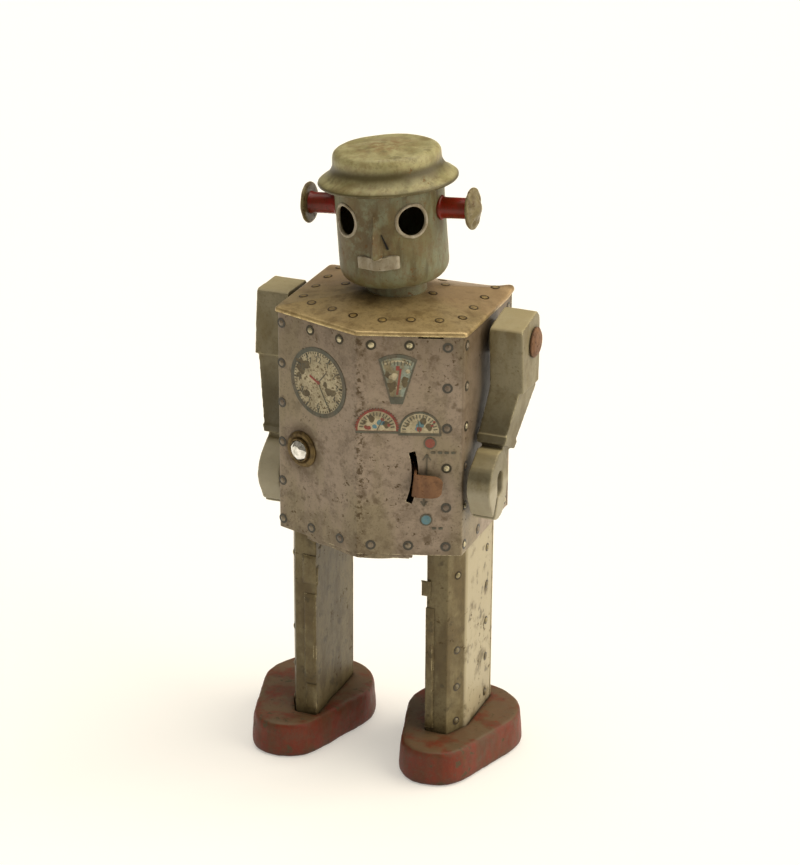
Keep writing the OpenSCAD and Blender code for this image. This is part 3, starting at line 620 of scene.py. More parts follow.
# Red enamel on the ear rods: glossy, with brown rubbed along the top.
red_enamel = aged_coat("red_enamel", "#88190d", "#70220f", "#4a2a12", "#8f7a4a", patch_mm=4, speck_mm=1.2,
                       speck=0.62, wear_mm=0.2, wear=0.3, roughness=0.3, bump_mm=0.01, wobble=0.12)
# Tarnished pewter ear caps with brown in the hollows.
pewter = aged_coat("tarnished_pewter", "#766b48", "#604f30", "#4a3018", "#b9ab85", patch_mm=2.2, speck_mm=0.9,
                   speck=0.56, wear_mm=0.3, wear=0.8, roughness=0.36, bump_mm=0.05, wobble=0.2)
# Rusted mild steel of the lever and the shoulder rivets.
rusty_iron = aged_coat("rusted_mild_steel", "#6f4e34", "#7d5a3c", "#452c1a", "#9c7c5a", patch_mm=2.0,
                       speck_mm=0.7, speck=0.55, wear_mm=0.15, wear=0.4, roughness=0.6, bump_mm=0.04, wobble=0.2)
# Cream paint of the eye rings and mouth, dabbed on by hand.
cream_paint = aged_coat("cream_brush_paint", "#aaa18d", "#948a73", "#6e5a3e", "#d8d2c0", patch_mm=1.8,
                        speck_mm=0.8, speck=0.66, wear_mm=0.1, wear=0.2, roughness=0.55, bump_mm=0.03, wobble=0.1)
print("painted finishes:", len(bpy.data.materials))


# %% [markdown]
# ## Bare metals, glass and the dark inside
# The clockwork is brass and steel that nobody polished since it was made, so the colour drifts slowly between
# clean and tarnished. A lathe-turned face has fine rings and a drawn sheet fine lines; both are a stretched
# noise that only nudges the roughness. Metals keep the shader's default index of refraction.

# %% Metal finishes
def bare_metal(name, clean, tarnish, roughness, stretch=(1, 1, 1), patch_mm=3.0, metallic=1.0):
    material, tree, shader = start_finish(name, roughness, metallic=metallic)
    place = mm_place(tree)
    amount = blotch(tree, place, patch_mm, 0.38, 0.66, 13, 4, 0.65)
    tree.links.new(blend_colour(tree, amount, srgb(clean), srgb(tarnish)), shader.inputs["Base Color"])
    lines = grain(tree, mm_place(tree, stretch), 0.25, 3, 0.6, 29)
    rough = calc(tree, "ADD", roughness - 0.1, times(tree, lines, 0.2))
    tree.links.new(calc(tree, "ADD", rough, times(tree, amount, 0.12)), shader.inputs["Roughness"])
    relief_of(tree, shader, lines, 0.004, 0.6)
    return material


aged_brass = bare_metal("aged_rolled_brass", "#c9a760", "#7d6132", 0.34)
stained_brass = bare_metal("stained_pressed_brass", "#6d5a33", "#453519", 0.5, patch_mm=1.5, metallic=0.55)
turned_steel = bare_metal("turned_mild_steel", "#b9b6ad", "#7c746a", 0.32, (1, 0.1, 1))
blued_steel = bare_metal("blued_spring_steel", "#3d4a66", "#2c2a30", 0.28, (0.2, 1, 0.2))
plated_steel = bare_metal("tin_plated_sheet_steel", "#c3c0b6", "#918a7c", 0.38, (1, 1, 0.15))
worn_nickel = bare_metal("worn_nickel_plate", "#c9c2ae", "#8f7f5c", 0.30, patch_mm=2.0)

# The unpainted inside of the head: dark, because little light ever reaches it.
dark_inside, _, shader = start_finish("unlit_inside_of_tin", 0.9)
shader.inputs["Base Color"].default_value = srgb("#15120d")

# Cut glass with silver foil behind it: the facets throw back hard little lights.
foiled_glass, tree, shader = start_finish("foil_backed_cut_glass", 0.07, metallic=0.85,
                                          Coat_Weight=1.0, Coat_Roughness=0.03)
cloud = blotch(tree, mm_place(tree), 0.9, 0.35, 0.65, 71, 3)
tree.links.new(blend_colour(tree, cloud, srgb("#f2f0ea"), srgb("#b8b7ad")), shader.inputs["Base Color"])
print("all finishes:", len(bpy.data.materials))

# %% Finish the nodes that keep their own shape
KEPT = {
    aged_brass: ["great_wheel", "second_wheel", "contrate_wheel", "governor_wheel", "ratchet_wheel",
                 "bearing_bushes"],
    turned_steel: ["shoulder_axle", "winding_arbor", "second_pinion", "third_pinion", "fly_pinion", "crankshaft",
                   "drive_pinion", "crank_webs", "lever_post", "guide_pins", "motor_pillars", "hip_block_left",
                   "hip_block_right"],
    blued_steel: ["mainspring", "click_spring"],
    plated_steel: ["motor_frame", "motor_back_plate", "fly_vane"],
    printed_tin: ["back_cover", "base_plate"],
    olive_tin: ["leg_cover_left", "leg_cover_right"],
    head_paint: ["neck"],
    rusty_iron: ["arm_rivets"],
    stained_brass: ["jewel_bezel"],
}
for material, nodes in KEPT.items():
    for node in nodes:
        NODES[node].data.materials.clear()
        NODES[node].data.materials.append(material)
print("nodes with a new finish:", sum(len(nodes) for nodes in KEPT.values()))


# %% [markdown]
# ## The folded body
# The body is one sheet, folded at four corners and open at the back. A real fold has a small radius, about
# the sheet's own thickness, and that radius is what catches the light along each corner. So the outline is
# drawn with small arcs, raised as a fine grid, given a slow ripple, and thickened inwards. The slot for the
# lever and the holes for the jewel and the axle are cut last, straight through.

# %% Raise a sheet from an outline
def sheet_from_path(path, low, high, step, thickness, wave_mm, shift=0.0):
    """An upright sheet over an open path; its thickness lies to the left of the path's direction."""
    levels = spread(low, high, max(2, round((high - low) / step)))
    outs = []
    for i, point in enumerate(path):
        run = (path[min(i + 1, len(path) - 1)] - path[max(i - 1, 0)]).normalized()
        outs.append(Vector((run.y, -run.x, 0)))
    outer, inner = [], []
    for z in levels:
        for point, out in zip(path, outs):
            flat = Vector((point.x, point.y, z))
            wave = ripple(flat, 11, wave_mm, shift)
            outer.append(flat + out * (wave - wave_mm))
            inner.append(flat + out * (wave - wave_mm - thickness))
    return outer + inner, sheet_faces(len(levels), len(path))


def cut(mesh, cutters):
    """Takes each cutter, a (points, faces) pair, out of the mesh."""
    holders = []
    for points, faces in cutters:
        holder = bpy.data.objects.new("cutter", solid_mesh("cutter", points, faces))
        bpy.context.collection.objects.link(holder)
        holders.append(holder)
    steps = [("BOOLEAN", dict(operation="DIFFERENCE", solver="EXACT", object=holder)) for holder in holders]
    result = with_modifiers(mesh, *steps)
    for holder in holders:
        bpy.data.objects.remove(holder)
    return result


def round_cutter(centre, axis, radius, reach, sides=40):
    turn = Vector(axis).to_track_quat("Z", "Y")
    rim = [centre + turn @ Vector((x, y, -reach)) for x, y in ring_of(radius, sides)]
    return prism(rim, turn @ Vector((0, 0, 2 * reach)))


# %% Cut the lever slot and the holes
SLOT_W, SLOT_U, LEVER_R, POST_Z = 1.3, 11.25, 16.3, 64.9
POST_U = SLOT_U - LEVER_R
SLOT_LOW, SLOT_HIGH = -22.1, 16.1


def slot_outline(side_radius):
    """The slot follows the lever's travel round its post."""
    inner = [(LEVER_R - side_radius, a) for a in spread(SLOT_HIGH, SLOT_LOW, 14)]
    outer = [(LEVER_R + side_radius, a) for a in spread(SLOT_LOW, SLOT_HIGH, 14)]
    turns = [(r, math.radians(a)) for r, a in outer + inner]
    return [(POST_U + r * math.cos(a), POST_Z + r * math.sin(a)) for r, a in turns]


slot_rim = [panel_point(1, u, z, -3) for u, z in slot_outline(SLOT_W / 2)]
panel_out = panel_point(1, 0, 0, 1) - panel_point(1, 0, 0, 0)
jewel_out = panel_point(-1, 0, 0, 1) - panel_point(-1, 0, 0, 0)
axle = middle("shoulder_axle")
cutters = [prism(slot_rim, panel_out * 6), round_cutter(jewel_spot, jewel_out, 1.5, 3),
           round_cutter(Vector((HALF_W, axle.y, axle.z)), (1, 0, 0), 1.3, 3),
           round_cutter(Vector((-HALF_W, axle.y, axle.z)), (1, 0, 0), 1.3, 3)]
# A tab slot under the shoulder plate's front rim, where the sheet below shows dark.
gap_u, gap_z, gap_h = (11.6, 16.5), TOP - 0.6, 0.55
gap_rim = [panel_point(1, u, z, -3) for u, z in ((gap_u[0], gap_z - gap_h), (gap_u[1], gap_z - gap_h),
                                                 (gap_u[1], gap_z + 0.6), (gap_u[0], gap_z + 0.6))]
cutters.append(prism(gap_rim, panel_out * 6))

corners = [(-HALF_W, BACK_Y - TIN), (-HALF_W, SIDE_FRONT), (0, PROW_Y), (HALF_W, SIDE_FRONT),
           (HALF_W, BACK_Y - TIN)]
body_path = rounded_path(corners, 0.55, 0.9, closed=False)
points, faces = sheet_from_path(body_path, BOTTOM, TOP, 1.0, TIN, 0.05)
sheet = cut(solid_mesh("folded_body", points, faces), cutters)
casing = finish_piece("folded_body", sheet, printed_tin, "body")
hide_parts("front_casing")
print("body sheet:", len(casing.data.polygons), "faces")


# %% [markdown]
# ## The shoulder plate
# This is one pressing: a five-sided rim turned down over the body, and a shallow roof that rises to the neck.
# Seen from above, every direction from the neck meets the rim at its own distance, so the roof is a set of
# rays. The corners of the outline become creases in the roof by themselves, as they do in the pressing.

# %% Press the shoulder plate
plate_low, plate_high = box_mm("shoulder_plate")
NECK_R = 5.9
LIFTED_TIP = 0.7        # how far the rear left corner has been bent up


def plate_outline(grow):
    lift = Vector((HALF_W, SIDE_FRONT - PROW_Y)).normalized()
    over = plate_high.x - HALF_W + grow
    front = over / lift.x
    side = (HALF_W + over, SIDE_FRONT - front + over * lift.y / lift.x)
    x, y = side
    return [(-x, BACK_Y + over), (-x, y), (0, PROW_Y - front), (x, y), (x, BACK_Y + over)]


def pressed_plate():
    rim = rounded_path(plate_outline(-0.02), 0.9, 0.8)
    centre = Vector((HEAD_ROOT.x, HEAD_ROOT.y))
    roof_z, rise = TOP + 0.2, plate_high.z - TOP - 0.3
    rings = []
    turned_rim = ((-0.75, -0.02), (-0.6, 0.0), (-0.42, 0.01), (-0.25, 0.05), (-0.08, 0.16), (0.05, 0.34), (0.13, 0.6))
    for drop, inwards in turned_rim:
        rings.append([(p - (p - centre).normalized() * inwards, roof_z + drop) for p in rim])
    for t in spread(0.06, 1.0, 16):
        ring = []
        for p in rim:
            away = (p - centre).length - 0.6
            reach = away + (NECK_R + 0.05 - away) * t
            height = roof_z + 0.13 + rise * (t ** 0.9)
            ring.append((centre + (p - centre).normalized() * reach, height))
        rings.append(ring)
    points = []
    for index, ring in enumerate(rings):
        for flat, z in ring:
            here = Vector((flat.x, flat.y, z))
            soft = 1.0 if index >= len(turned_rim) else 0.45
            here.z += ripple(here, 8, 0.14 * soft, 4) - 0.07 * soft
            from_corner = (here.x - HALF_W) ** 2 + (here.y - BACK_Y) ** 2
            here.z += LIFTED_TIP * math.exp(-from_corner / 6)
            points.append(here)
    return points, grid_faces(len(rings), len(rim), closed=True)


points, faces = pressed_plate()
shell = with_modifiers(solid_mesh("plate", points, faces), ("SOLIDIFY", dict(thickness=0.3 * MM, offset=-1)))
plate = finish_piece("shoulder_pressing", shell, gold_tin, "body")
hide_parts("shoulder_plate")
print("shoulder pressing:", len(plate.data.polygons), "faces")


# %% [markdown]
# ## The head
# The head is a drawn cup. Its outside is a grid of angles and heights, and the nose is pressed out of the same
# sheet: near the nose each point moves outwards by the height of a narrow ridge on a low wedge. Thickening the
# sheet inwards with a second material slot leaves the inside dark, so the eye holes read as black.

# %% Draw the cup with its nose
EYES, EYE_H, EYE_R = (44.5, -33.5), 15.9, 2.9
NOSE_AT, NOSE_TOP, NOSE_FOOT = 5.0, 18.15, 9.4
CUP_FLOOR, CUP_RIM, CUP_ROUND = 2.1, 22.6, 3.4


def nose_height(angle, height):
    if not NOSE_FOOT - 0.5 < height < NOSE_TOP:
        return 0.0
    down = (NOSE_TOP - height) / (NOSE_TOP - NOSE_FOOT)
    across = abs(math.radians(angle - NOSE_AT)) * HEAD_R
    ridge = max(0.0, 1 - across / (0.35 + 0.7 * down))
    flank = max(0.0, 1 - across / (0.4 + 1.9 * down))
    foot = min(1.0, (height - NOSE_FOOT + 0.5) / 0.5)
    return min(down * 1.25, 1) * foot * (1.7 * ridge ** 0.7 + 0.9 * flank)


def cup():
    columns = 300
    profile = [(r, CUP_FLOOR) for r in spread(3.0, HEAD_R - CUP_ROUND, 8)]
    for a in spread(-80, 0, 9):
        bend = math.radians(a)
        profile.append((HEAD_R + CUP_ROUND * (math.cos(bend) - 1), CUP_FLOOR + CUP_ROUND * (math.sin(bend) + 1)))
    profile += [(HEAD_R, h) for h in spread(CUP_FLOOR + CUP_ROUND + 0.3, CUP_RIM, 58)]
    points = []
    for radius, height in profile:
        for k in range(columns):
            angle = k * 360 / columns - 180
            spot = head_point(angle, radius, height)
            swell = nose_height(angle, height) if radius > HEAD_R - 0.1 else 0
            dent = ripple(spot, 6, 0.10, 7) + ripple(spot, 1.8, 0.03, 2) - 0.06
            points.append(head_point(angle, radius + swell + dent, height))
    return points, grid_faces(len(profile), columns, closed=True)


def head_out(angle):
    return (head_point(angle, 1, 0) - head_point(angle, 0, 0)).normalized()


points, faces = cup()
thicken = dict(thickness=0.45 * MM, offset=-1, material_offset=1, material_offset_rim=0)
shell = with_modifiers(solid_mesh("cup", points, faces), ("SOLIDIFY", thicken))
holes = [round_cutter(head_point(a, HEAD_R, EYE_H), head_out(a), EYE_R, 3) for a in EYES]
holes += [round_cutter(head_point(a, HEAD_R, EAR_H), head_out(a), 2.1, 2) for a in (90, -90)]
shell = cut(shell, holes)
shell.materials.clear()
shell.materials.append(head_paint)
shell.materials.append(dark_inside)
head = finish_piece("drawn_head_cup", shell, head_paint, "body")
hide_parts("head_shell")
print("head cup:", len(head.data.polygons), "faces")


# %% [markdown]
# ## Turned and spun pieces
# The hat, the ear caps and the jewel's setting are all round. A spun piece is one outline carried round an
# axis. The outline's few given points are joined by a smooth curve, and a slow ripple dents the result,
# because a thin pressed hat that has been handled for years isn't perfectly round.

# %% Spin an outline
def smooth_line(points, steps):
    """A curve through every point, by the Catmull-Rom rule."""
    line, last = [], len(points) - 1
    for i in range(last):
        a, b, c, d = (Vector(points[min(max(k, 0), last)]) for k in (i - 1, i, i + 1, i + 2))
        for s in range(steps):
            t = s / steps
            bend, twist = 2 * a - 5 * b + 4 * c - d, 3 * b - a - 3 * c + d
            line.append(0.5 * (2 * b + (c - a) * t + bend * t * t + twist * t ** 3))
    return line + [Vector(points[-1])]


def spun(outline, place, columns, wave_mm=0.0, wave_size=5.0):
    """outline holds (radius, height) pairs; place turns an angle, a radius and a height into a point."""
    points = []
    for radius, height in outline:
        for k in range(columns):
            angle = k * 360 / columns
            spot = place(angle, radius, height)
            amount = ripple(spot, wave_size, wave_mm) + ripple(spot, wave_size * 0.3, wave_mm * 0.3, 5)
            share = min(1.0, radius / 3)
            points.append(place(angle, radius + amount * share, height + amount * 0.5 * share))
    faces = grid_faces(len(outline), columns, closed=True)
    return points, faces


EDGE = CUP_RIM - 1.3
BRIM_R, CROWN_R = 13.6, 10.6
hat_outline = smooth_line([
    (HEAD_R + 0.05, EDGE + 1.6), (BRIM_R - 1.7, EDGE + 0.95), (BRIM_R - 0.5, EDGE + 0.4), (BRIM_R - 0.12, EDGE + 0.45),
    (BRIM_R, EDGE + 0.85), (BRIM_R - 0.45, EDGE + 1.35), (BRIM_R - 1.6, EDGE + 2.05), (CROWN_R + 0.5, EDGE + 3.0),
    (CROWN_R + 0.05, EDGE + 3.9), (CROWN_R - 0.02, EDGE + 4.9), (CROWN_R - 0.12, EDGE + 5.8),
    (CROWN_R - 0.6, EDGE + 6.6), (CROWN_R - 1.5, EDGE + 6.95), (CROWN_R - 3, EDGE + 6.95),
    (CROWN_R - 5.5, EDGE + 7.15), (CROWN_R - 8.5, EDGE + 7.4), (0, EDGE + 7.4)], 5)
hat_lining = [(0, EDGE + 6.55), (CROWN_R - 3, EDGE + 6.3), (CROWN_R - 1.1, EDGE + 5.9), (CROWN_R - 0.85, EDGE + 5.0),
              (CROWN_R - 0.7, EDGE + 3.8), (CROWN_R - 0.1, EDGE + 2.7), (HEAD_R + 0.05, EDGE + 2.1)]
hat_section = hat_outline + [Vector(p) for p in hat_lining] + hat_outline[:1]
points, faces = spun(hat_section, head_point, 120, 0.16, 6.0)
hat = piece("pressed_hat", points, faces, hat_paint, "body")
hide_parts("hat")
print("hat:", len(hat.data.polygons), "faces")


# %% [markdown]
# ## Ears
# Each ear is a red rod with a round cap at its end, like a tack. The cap is pressed: it has a rolled edge and a
# ring of shallow dimples that old brown polish has filled.

# %% Rods and caps
def ear_place(sign):
    turn = EAR_LINE * sign
    side = Vector((0, -1, 0))
    root = HEAD_ROOT + HEAD_UP * EAR_H

    def place(angle, radius, reach):
        a = math.radians(angle)
        return root + turn * reach + side * (radius * math.cos(a)) + HEAD_UP * (radius * math.sin(a))
    return place


EAR_END = 18.8
DIMPLES, DIMPLE_R, DIMPLE_MM = 9, 2.9, 0.24


def ear_cap(sign):
    place = ear_place(sign)
    section = ((0, 2.25), (1.9, 2.25), (3.2, 2.3), (3.85, 2.15), (4.05, 1.8),
               (3.8, 1.5), (2.9, 1.35), (2.0, 0.95), (0.9, 0.3), (0, 0.15))
    outline = smooth_line([(radius, EAR_END - depth) for radius, depth in section], 4)
    columns = 72
    points = []
    for radius, reach in outline:
        outside = reach > EAR_END - 1.75
        share = math.exp(-((radius - DIMPLE_R) / 0.7) ** 2) if outside else 0
        for k in range(columns):
            angle = k * 360 / columns
            dimple = DIMPLE_MM * math.cos(math.radians(angle * DIMPLES)) * share
            dent = ripple(place(angle, radius, reach), 1.5, 0.08)
            points.append(place(angle, radius, reach + dimple + dent))
    return points, grid_faces(len(outline), columns, closed=True)


for sign, side_name in ((1, "left"), (-1, "right")):
    points, faces = ear_cap(sign)
    cap = piece(f"ear_cap_pressed_{side_name}", points, faces, pewter, "body")
    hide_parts(f"ear_cap_{side_name}")
rods = []
for sign in (1, -1):
    outline = smooth_line([(2.35, HEAD_R - 0.5), (2.4, HEAD_R + 0.1), (2.12, HEAD_R + 0.45), (2.05, HEAD_R + 2),
                           (2.05, 15.8), (2.2, 16.4), (2.3, 16.7)], 4)
    rods.append(spun(outline, ear_place(sign), 48, 0.04, 2.5))
points, faces = merge(rods)
rod = piece("ear_rods_enamelled", points, faces, red_enamel, "body")
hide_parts("ear_rods")
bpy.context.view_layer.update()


# %% [markdown]
# ## Eye rings, mouth and the split beside the nose
# These are dabs of cream paint, thick enough to stand off the sheet, and beside the nose a dark strip of
# painted shade. Each one is a strip laid over the round cup: its points are worked out flat, as a distance
# along the face and a height, then wrapped on.

# %% Wrap flat shapes on the face
def wrapped(rows, lift, depth=0.25):
    """rows of (angle, height, share): a raised skin whose edges sink into the cup."""
    points = []
    for row in rows:
        for angle, height, share in row:
            spot = head_point(angle, HEAD_R, height)
            wave = ripple(spot, 1.4, 0.05, 8)
            radius = HEAD_R + nose_height(angle, height) + share * (lift + wave) - (1 - share) * depth
            points.append(head_point(angle, radius, height))
    return points


def eye_ring(at):
    rows, columns = [], 64
    for wider, share in ((-0.05, 0.0), (0.02, 0.8), (0.14, 1.0), (0.3, 1.0), (0.46, 0.8), (0.58, 0.0)):
        radius, outer_edge = EYE_R + wider, share < 1 and wider > 0.2
        row = []
        for k in range(columns):
            a = math.radians(k * 360 / columns)
            wobble = ripple((math.cos(a) * 2, math.sin(a) * 2, at), 1.0, 0.12) if outer_edge else 0
            r = radius + wobble
            row.append((at + math.degrees(r * math.cos(a) / HEAD_R), EYE_H + r * math.sin(a), share))
        rows.append(row)
    return wrapped(rows, 0.16), grid_faces(len(rows), columns, closed=True)


def mouth():
    left, right, low, high = -19.0, 29.0, 6.75, 9.4
    rows = []
    for t, share in ((0, 0.0), (0.06, 0.8), (0.2, 1), (0.4, 1), (0.6, 1), (0.8, 1), (0.94, 0.8), (1, 0.0)):
        row = []
        for s in range(41):
            u = s / 40
            angle = left + (right - left) * u
            top = high + 0.22 * math.sin(u * 9.0) - 0.18 * math.cos(u * 5.2)
            base = low + 0.16 * math.sin(u * 7.0 + 1)
            ends = min(1.0, min(u, 1 - u) * 14)
            row.append((angle, base + (top - base) * t, share * ends))
        rows.append(row)
    return wrapped(rows, 0.42), grid_faces(len(rows), 41)


def skin(name, parts, material):
    """A raised skin is open behind, so it is given a thin back that lies inside the cup's sheet."""
    points, faces = merge(parts)
    shell = with_modifiers(solid_mesh(name, points, faces), ("SOLIDIFY", dict(thickness=0.12 * MM, offset=0)))
    return finish_piece(name, shell, material, "body")


skin("eye_rings_painted", [eye_ring(a) for a in EYES], cream_paint)
skin("mouth_painted", [mouth()], cream_paint)
# The split beside the nose is not cut: a thin dark strip on the face, in the unlit inside's colour, is painted shade
# for it
split = []
for t in spread(0, 1, 9):
    half = 0.9 * (0.3 + t)
    split.append([(11.0 + 5.8 * t + w, 13.9 - 3.0 * t, 1.0) for w in (-half, half)])
skin("nose_split_painted_shade", [(wrapped(split, 0.06), grid_faces(len(split), 2))], dark_inside)
print("face pieces done")


# %% [markdown]
# ## The jewel
# A cut glass stone sits in a stained brass cup on the right front panel. Its crown is two rings of facets round
# a small flat table, and flat shading keeps every facet crisp.

# %% Cut the stone
def stone(radius, rings, sides):
    """rings of (share of the radius, height, half-step turn) from the girdle to the table."""
    points = []
    for share, height, turn in rings:
        for k in range(sides):
            a = 2 * math.pi * (k + turn) / sides
            points.append(jewel_spot + along_panel * (radius * share * math.cos(a))
                          + Vector((0, 0, radius * share * math.sin(a))) + jewel_out * height)
    faces = []
    for r in range(len(rings) - 1):
        for k in range(sides):
            a, b = r * sides + k, r * sides + (k + 1) % sides
            c, d = a + sides, b + sides
            faces += [(a, b, c), (b, d, c)] if rings[r + 1][2] > rings[r][2] else [(a, b, d), (a, d, c)]
    faces.append(tuple(range((len(rings) - 1) * sides, len(rings) * sides)))
    faces.append(tuple(reversed(range(sides))))
    return points, faces


along_panel = (panel_point(-1, 1, 0) - panel_point(-1, 0, 0)).normalized()
points, faces = stone(2.15, ((1.0, 0.3, 0.0), (1.0, 0.75, 0.0), (0.8, 1.35, 0.5), (0.52, 1.75, 1.0)), 10)
jewel = piece("cut_stone", points, faces, foiled_glass, "body", smooth=False)
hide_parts("jewel_glass")
print("stone facets:", len(jewel.data.polygons))


# %% [markdown]
# ## Printed gauges
# Lithographed tin carries its picture in ink. Here each printed shape is a wafer a few hundredths of a
# millimetre proud, so every edge is crisp from any distance and nothing depends on a picture file. A shape is
# drawn as someone facing the robot sees it: x to the right, y up, about its own middle.

# %% Flat printed shapes
def printer(side, u, z):
    """Gives the place on a front panel of a point drawn as the onlooker sees it."""
    return lambda x, y, lift=0.0: panel_point(side, u + side * x, z + y, lift)


def wafer(place, outline, lift, inner=None):
    rim = [place(x, y, lift) for x, y in outline]
    back = place(0, 0, -0.14) - place(0, 0, lift)
    return prism(rim, back, [place(x, y, lift) for x, y in inner] if inner else None)


def circle(radius, count=56, x=0.0, y=0.0):
    return [(x + px, y + py) for px, py in ring_of(radius, count)]


def blot(place, x, y, radius, lift):
    """An irregular flake."""
    rim = []
    for px, py in circle(radius, 22, x, y):
        grow = 1 + 0.9 * noise.noise(Vector((px * 1.1, py * 1.1, radius)))
        rim.append((x + (px - x) * grow, y + (py - y) * grow))
    return wafer(place, rim, lift)


def bar(place, a, b, width, lift):
    a, b = Vector(a), Vector(b)
    across = Vector((a.y - b.y, b.x - a.x)).normalized() * width / 2
    return wafer(place, [a - across, b - across, b + across, a + across], lift)


def scaled(outline, share, x=0.0, y=0.0):
    return [(x + (px - x) * share, y + (py - y) * share) for px, py in outline]


def print_ink(name, parts, material):
    points, faces = merge(parts)
    return piece(name, points, faces, material, "body", smooth=False)


def print_flakes(name, place, lift, material, *flakes):
    """Each flake is (radius, x, y)."""
    return print_ink(name, [blot(place, x, y, radius, lift) for radius, x, y in flakes], material)


def printing_ink(name, coat, faded, rust, worn, patch_mm, speck_mm, speck, wobble):
    """Ink on tin: too thin to have an edge of its own, so it has hardly any relief or rubbed metal."""
    return aged_coat(name, coat, faded, rust, worn, patch_mm, speck_mm, speck, wear_mm=0.1, wear=0.1,
                     streak=(1, 1, 0.5), dirt_and_shade=0.3, roughness=0.42, bump_mm=0.008, wobble=wobble)


# %% Printing inks
dark_ink = printing_ink("dark_grey_green_ink", "#57584b", "#635c4c", "#3a3123", "#8f887a", 3, 0.7, 0.60, 0.12)
cream_ink = printing_ink("cream_ink_flaking", "#b9ad8e", "#a59a7c", "#5a4a30", "#cfc4a4", 1.6, 0.55, 0.535, 0.2)
pale_ink = printing_ink("blue_green_ink_flaking", "#8b9486", "#857a5c", "#4f4028", "#cfc4a4", 2.2, 0.8, 0.53, 0.25)
olive_ink = printing_ink("bare_brown_under_ink", "#5d5138", "#6b6046", "#3a3020", "#8f8468", 1.5, 0.5, 0.56, 0.25)
red_ink = printing_ink("red_ink", "#8f433b", "#84503f", "#4d2f22", "#b08a72", 1.5, 0.5, 0.62, 0.15)
blue_ink = printing_ink("blue_ink", "#587f8c", "#64807f", "#3a3a30", "#9fb0b0", 1.5, 0.5, 0.66, 0.1)
print("finishes with inks:", len(bpy.data.materials))

# %% Figures for the dial
# Each figure is one pen line on a small grid, two wide and four high
STROKES = {"0": [(0, 0), (2, 0), (2, 4), (0, 4), (0, 0)], "1": [(1, 0), (1, 4), (0, 3)],
           "2": [(2, 0), (0, 0), (2, 2.6), (1.6, 4), (0, 3.6)], "3": [(0, 0), (2, 0.6), (0.8, 2.2), (2, 3.6), (0, 4)],
           "4": [(1.5, 0), (1.5, 4), (0, 1.4), (2, 1.4)], "5": [(0, 0), (2, 0.8), (1.6, 2.4), (0, 2.2), (0, 4), (2, 4)],
           "6": [(1.8, 4), (0, 2), (0, 0), (2, 0), (2, 1.8), (0, 1.8)], "7": [(0, 4), (2, 4), (0.6, 0)],
           "8": [(0, 0), (2, 0), (0, 4), (2, 4), (0, 0)], "9": [(0.2, 0), (2, 2), (2, 4), (0, 4), (0, 2.2), (2, 2.2)]}


def figure(place, text, x, y, height, lift):
    parts, unit = [], height / 4
    left = x - unit * (2.8 * len(text) - 0.8) / 2
    for letter in text:
        line = [(left + px * unit, y - height / 2 + py * unit) for px, py in STROKES[letter]]
        parts += [bar(place, a, b, 0.13, lift) for a, b in zip(line, line[1:])]
        left += unit * 2.8
    return parts


# %% [markdown]
# ## Ticks by Geometry Nodes
# A dial's ticks follow one rule, so a small node tree lays them out: it makes a row of points, moves each one
# round an arc, and puts a bar on it. Count, radius, length, width, start and sweep are inputs, so one tree
# serves the clock dial and both half-round gauges.

# %% Tick tree
def open_tree(name, *inputs):
    tree = bpy.data.node_groups.new(name, "GeometryNodeTree")
    tree.interface.new_socket(name="Geometry", in_out="INPUT", socket_type="NodeSocketGeometry")
    sockets = {}
    for label, kind in inputs:
        sockets[label] = tree.interface.new_socket(name=label, in_out="INPUT", socket_type=kind)
    tree.interface.new_socket(name="Geometry", in_out="OUTPUT", socket_type="NodeSocketGeometry")
    return tree, tree.nodes.new("NodeGroupInput").outputs, sockets


def close_tree(tree, geometry, material_socket):
    real = add(tree, "GeometryNodeRealizeInstances", {"Geometry": geometry}).outputs[0]
    done = add(tree, "GeometryNodeSetMaterial", {"Geometry": real, "Material": material_socket}).outputs[0]
    add(tree, "NodeGroupOutput", {0: done})


def grown(tree, sockets, mesh, **values):
    """Runs a tree on a mesh with its named inputs set, and returns a plain mesh."""
    holder = bpy.data.objects.new("holder", mesh)
    bpy.context.collection.objects.link(holder)
    modifier = holder.modifiers.new("grow", "NODES")
    modifier.node_group = tree
    for label, value in values.items():
        modifier[sockets[label.replace("_", " ")].identifier] = value
    bpy.context.view_layer.update()
    result = bpy.data.meshes.new_from_object(holder.evaluated_get(bpy.context.evaluated_depsgraph_get()))
    bpy.data.objects.remove(holder)
    finish = values["Finish"]
    result.materials.clear()
    result.materials.append(finish)
    for face in result.polygons:
        face.material_index = 0
    return result


FLOAT = "NodeSocketFloat"
tick_tree, given, tick_inputs = open_tree(
    "ticks_on_an_arc", ("Count", "NodeSocketInt"), ("Radius", FLOAT), ("Length", FLOAT), ("Width", FLOAT),
    ("Start", FLOAT), ("Sweep", FLOAT), ("Finish", "NodeSocketMaterial"))
number = add(tick_tree, "GeometryNodeInputIndex").outputs[0]
gaps = calc(tick_tree, "SUBTRACT", given["Count"], 1.0)
swept = times(tick_tree, given["Sweep"], calc(tick_tree, "DIVIDE", number, gaps))
turn = calc(tick_tree, "ADD", given["Start"], swept)
east = times(tick_tree, calc(tick_tree, "COSINE", turn), given["Radius"])
north = times(tick_tree, calc(tick_tree, "SINE", turn), given["Radius"])
spot = add(tick_tree, "ShaderNodeCombineXYZ", {0: east, 1: north}).outputs[0]
row = add(tick_tree, "GeometryNodePoints", {"Count": given["Count"], "Position": spot}).outputs[0]
TICK_THICK = 0.12
sides = {0: given["Length"], 1: given["Width"], 2: TICK_THICK * MM}
size = add(tick_tree, "ShaderNodeCombineXYZ", sides).outputs[0]
block = add(tick_tree, "GeometryNodeMeshCube", {"Size": size}).outputs[0]
spin = add(tick_tree, "ShaderNodeCombineXYZ", {2: turn}).outputs[0]
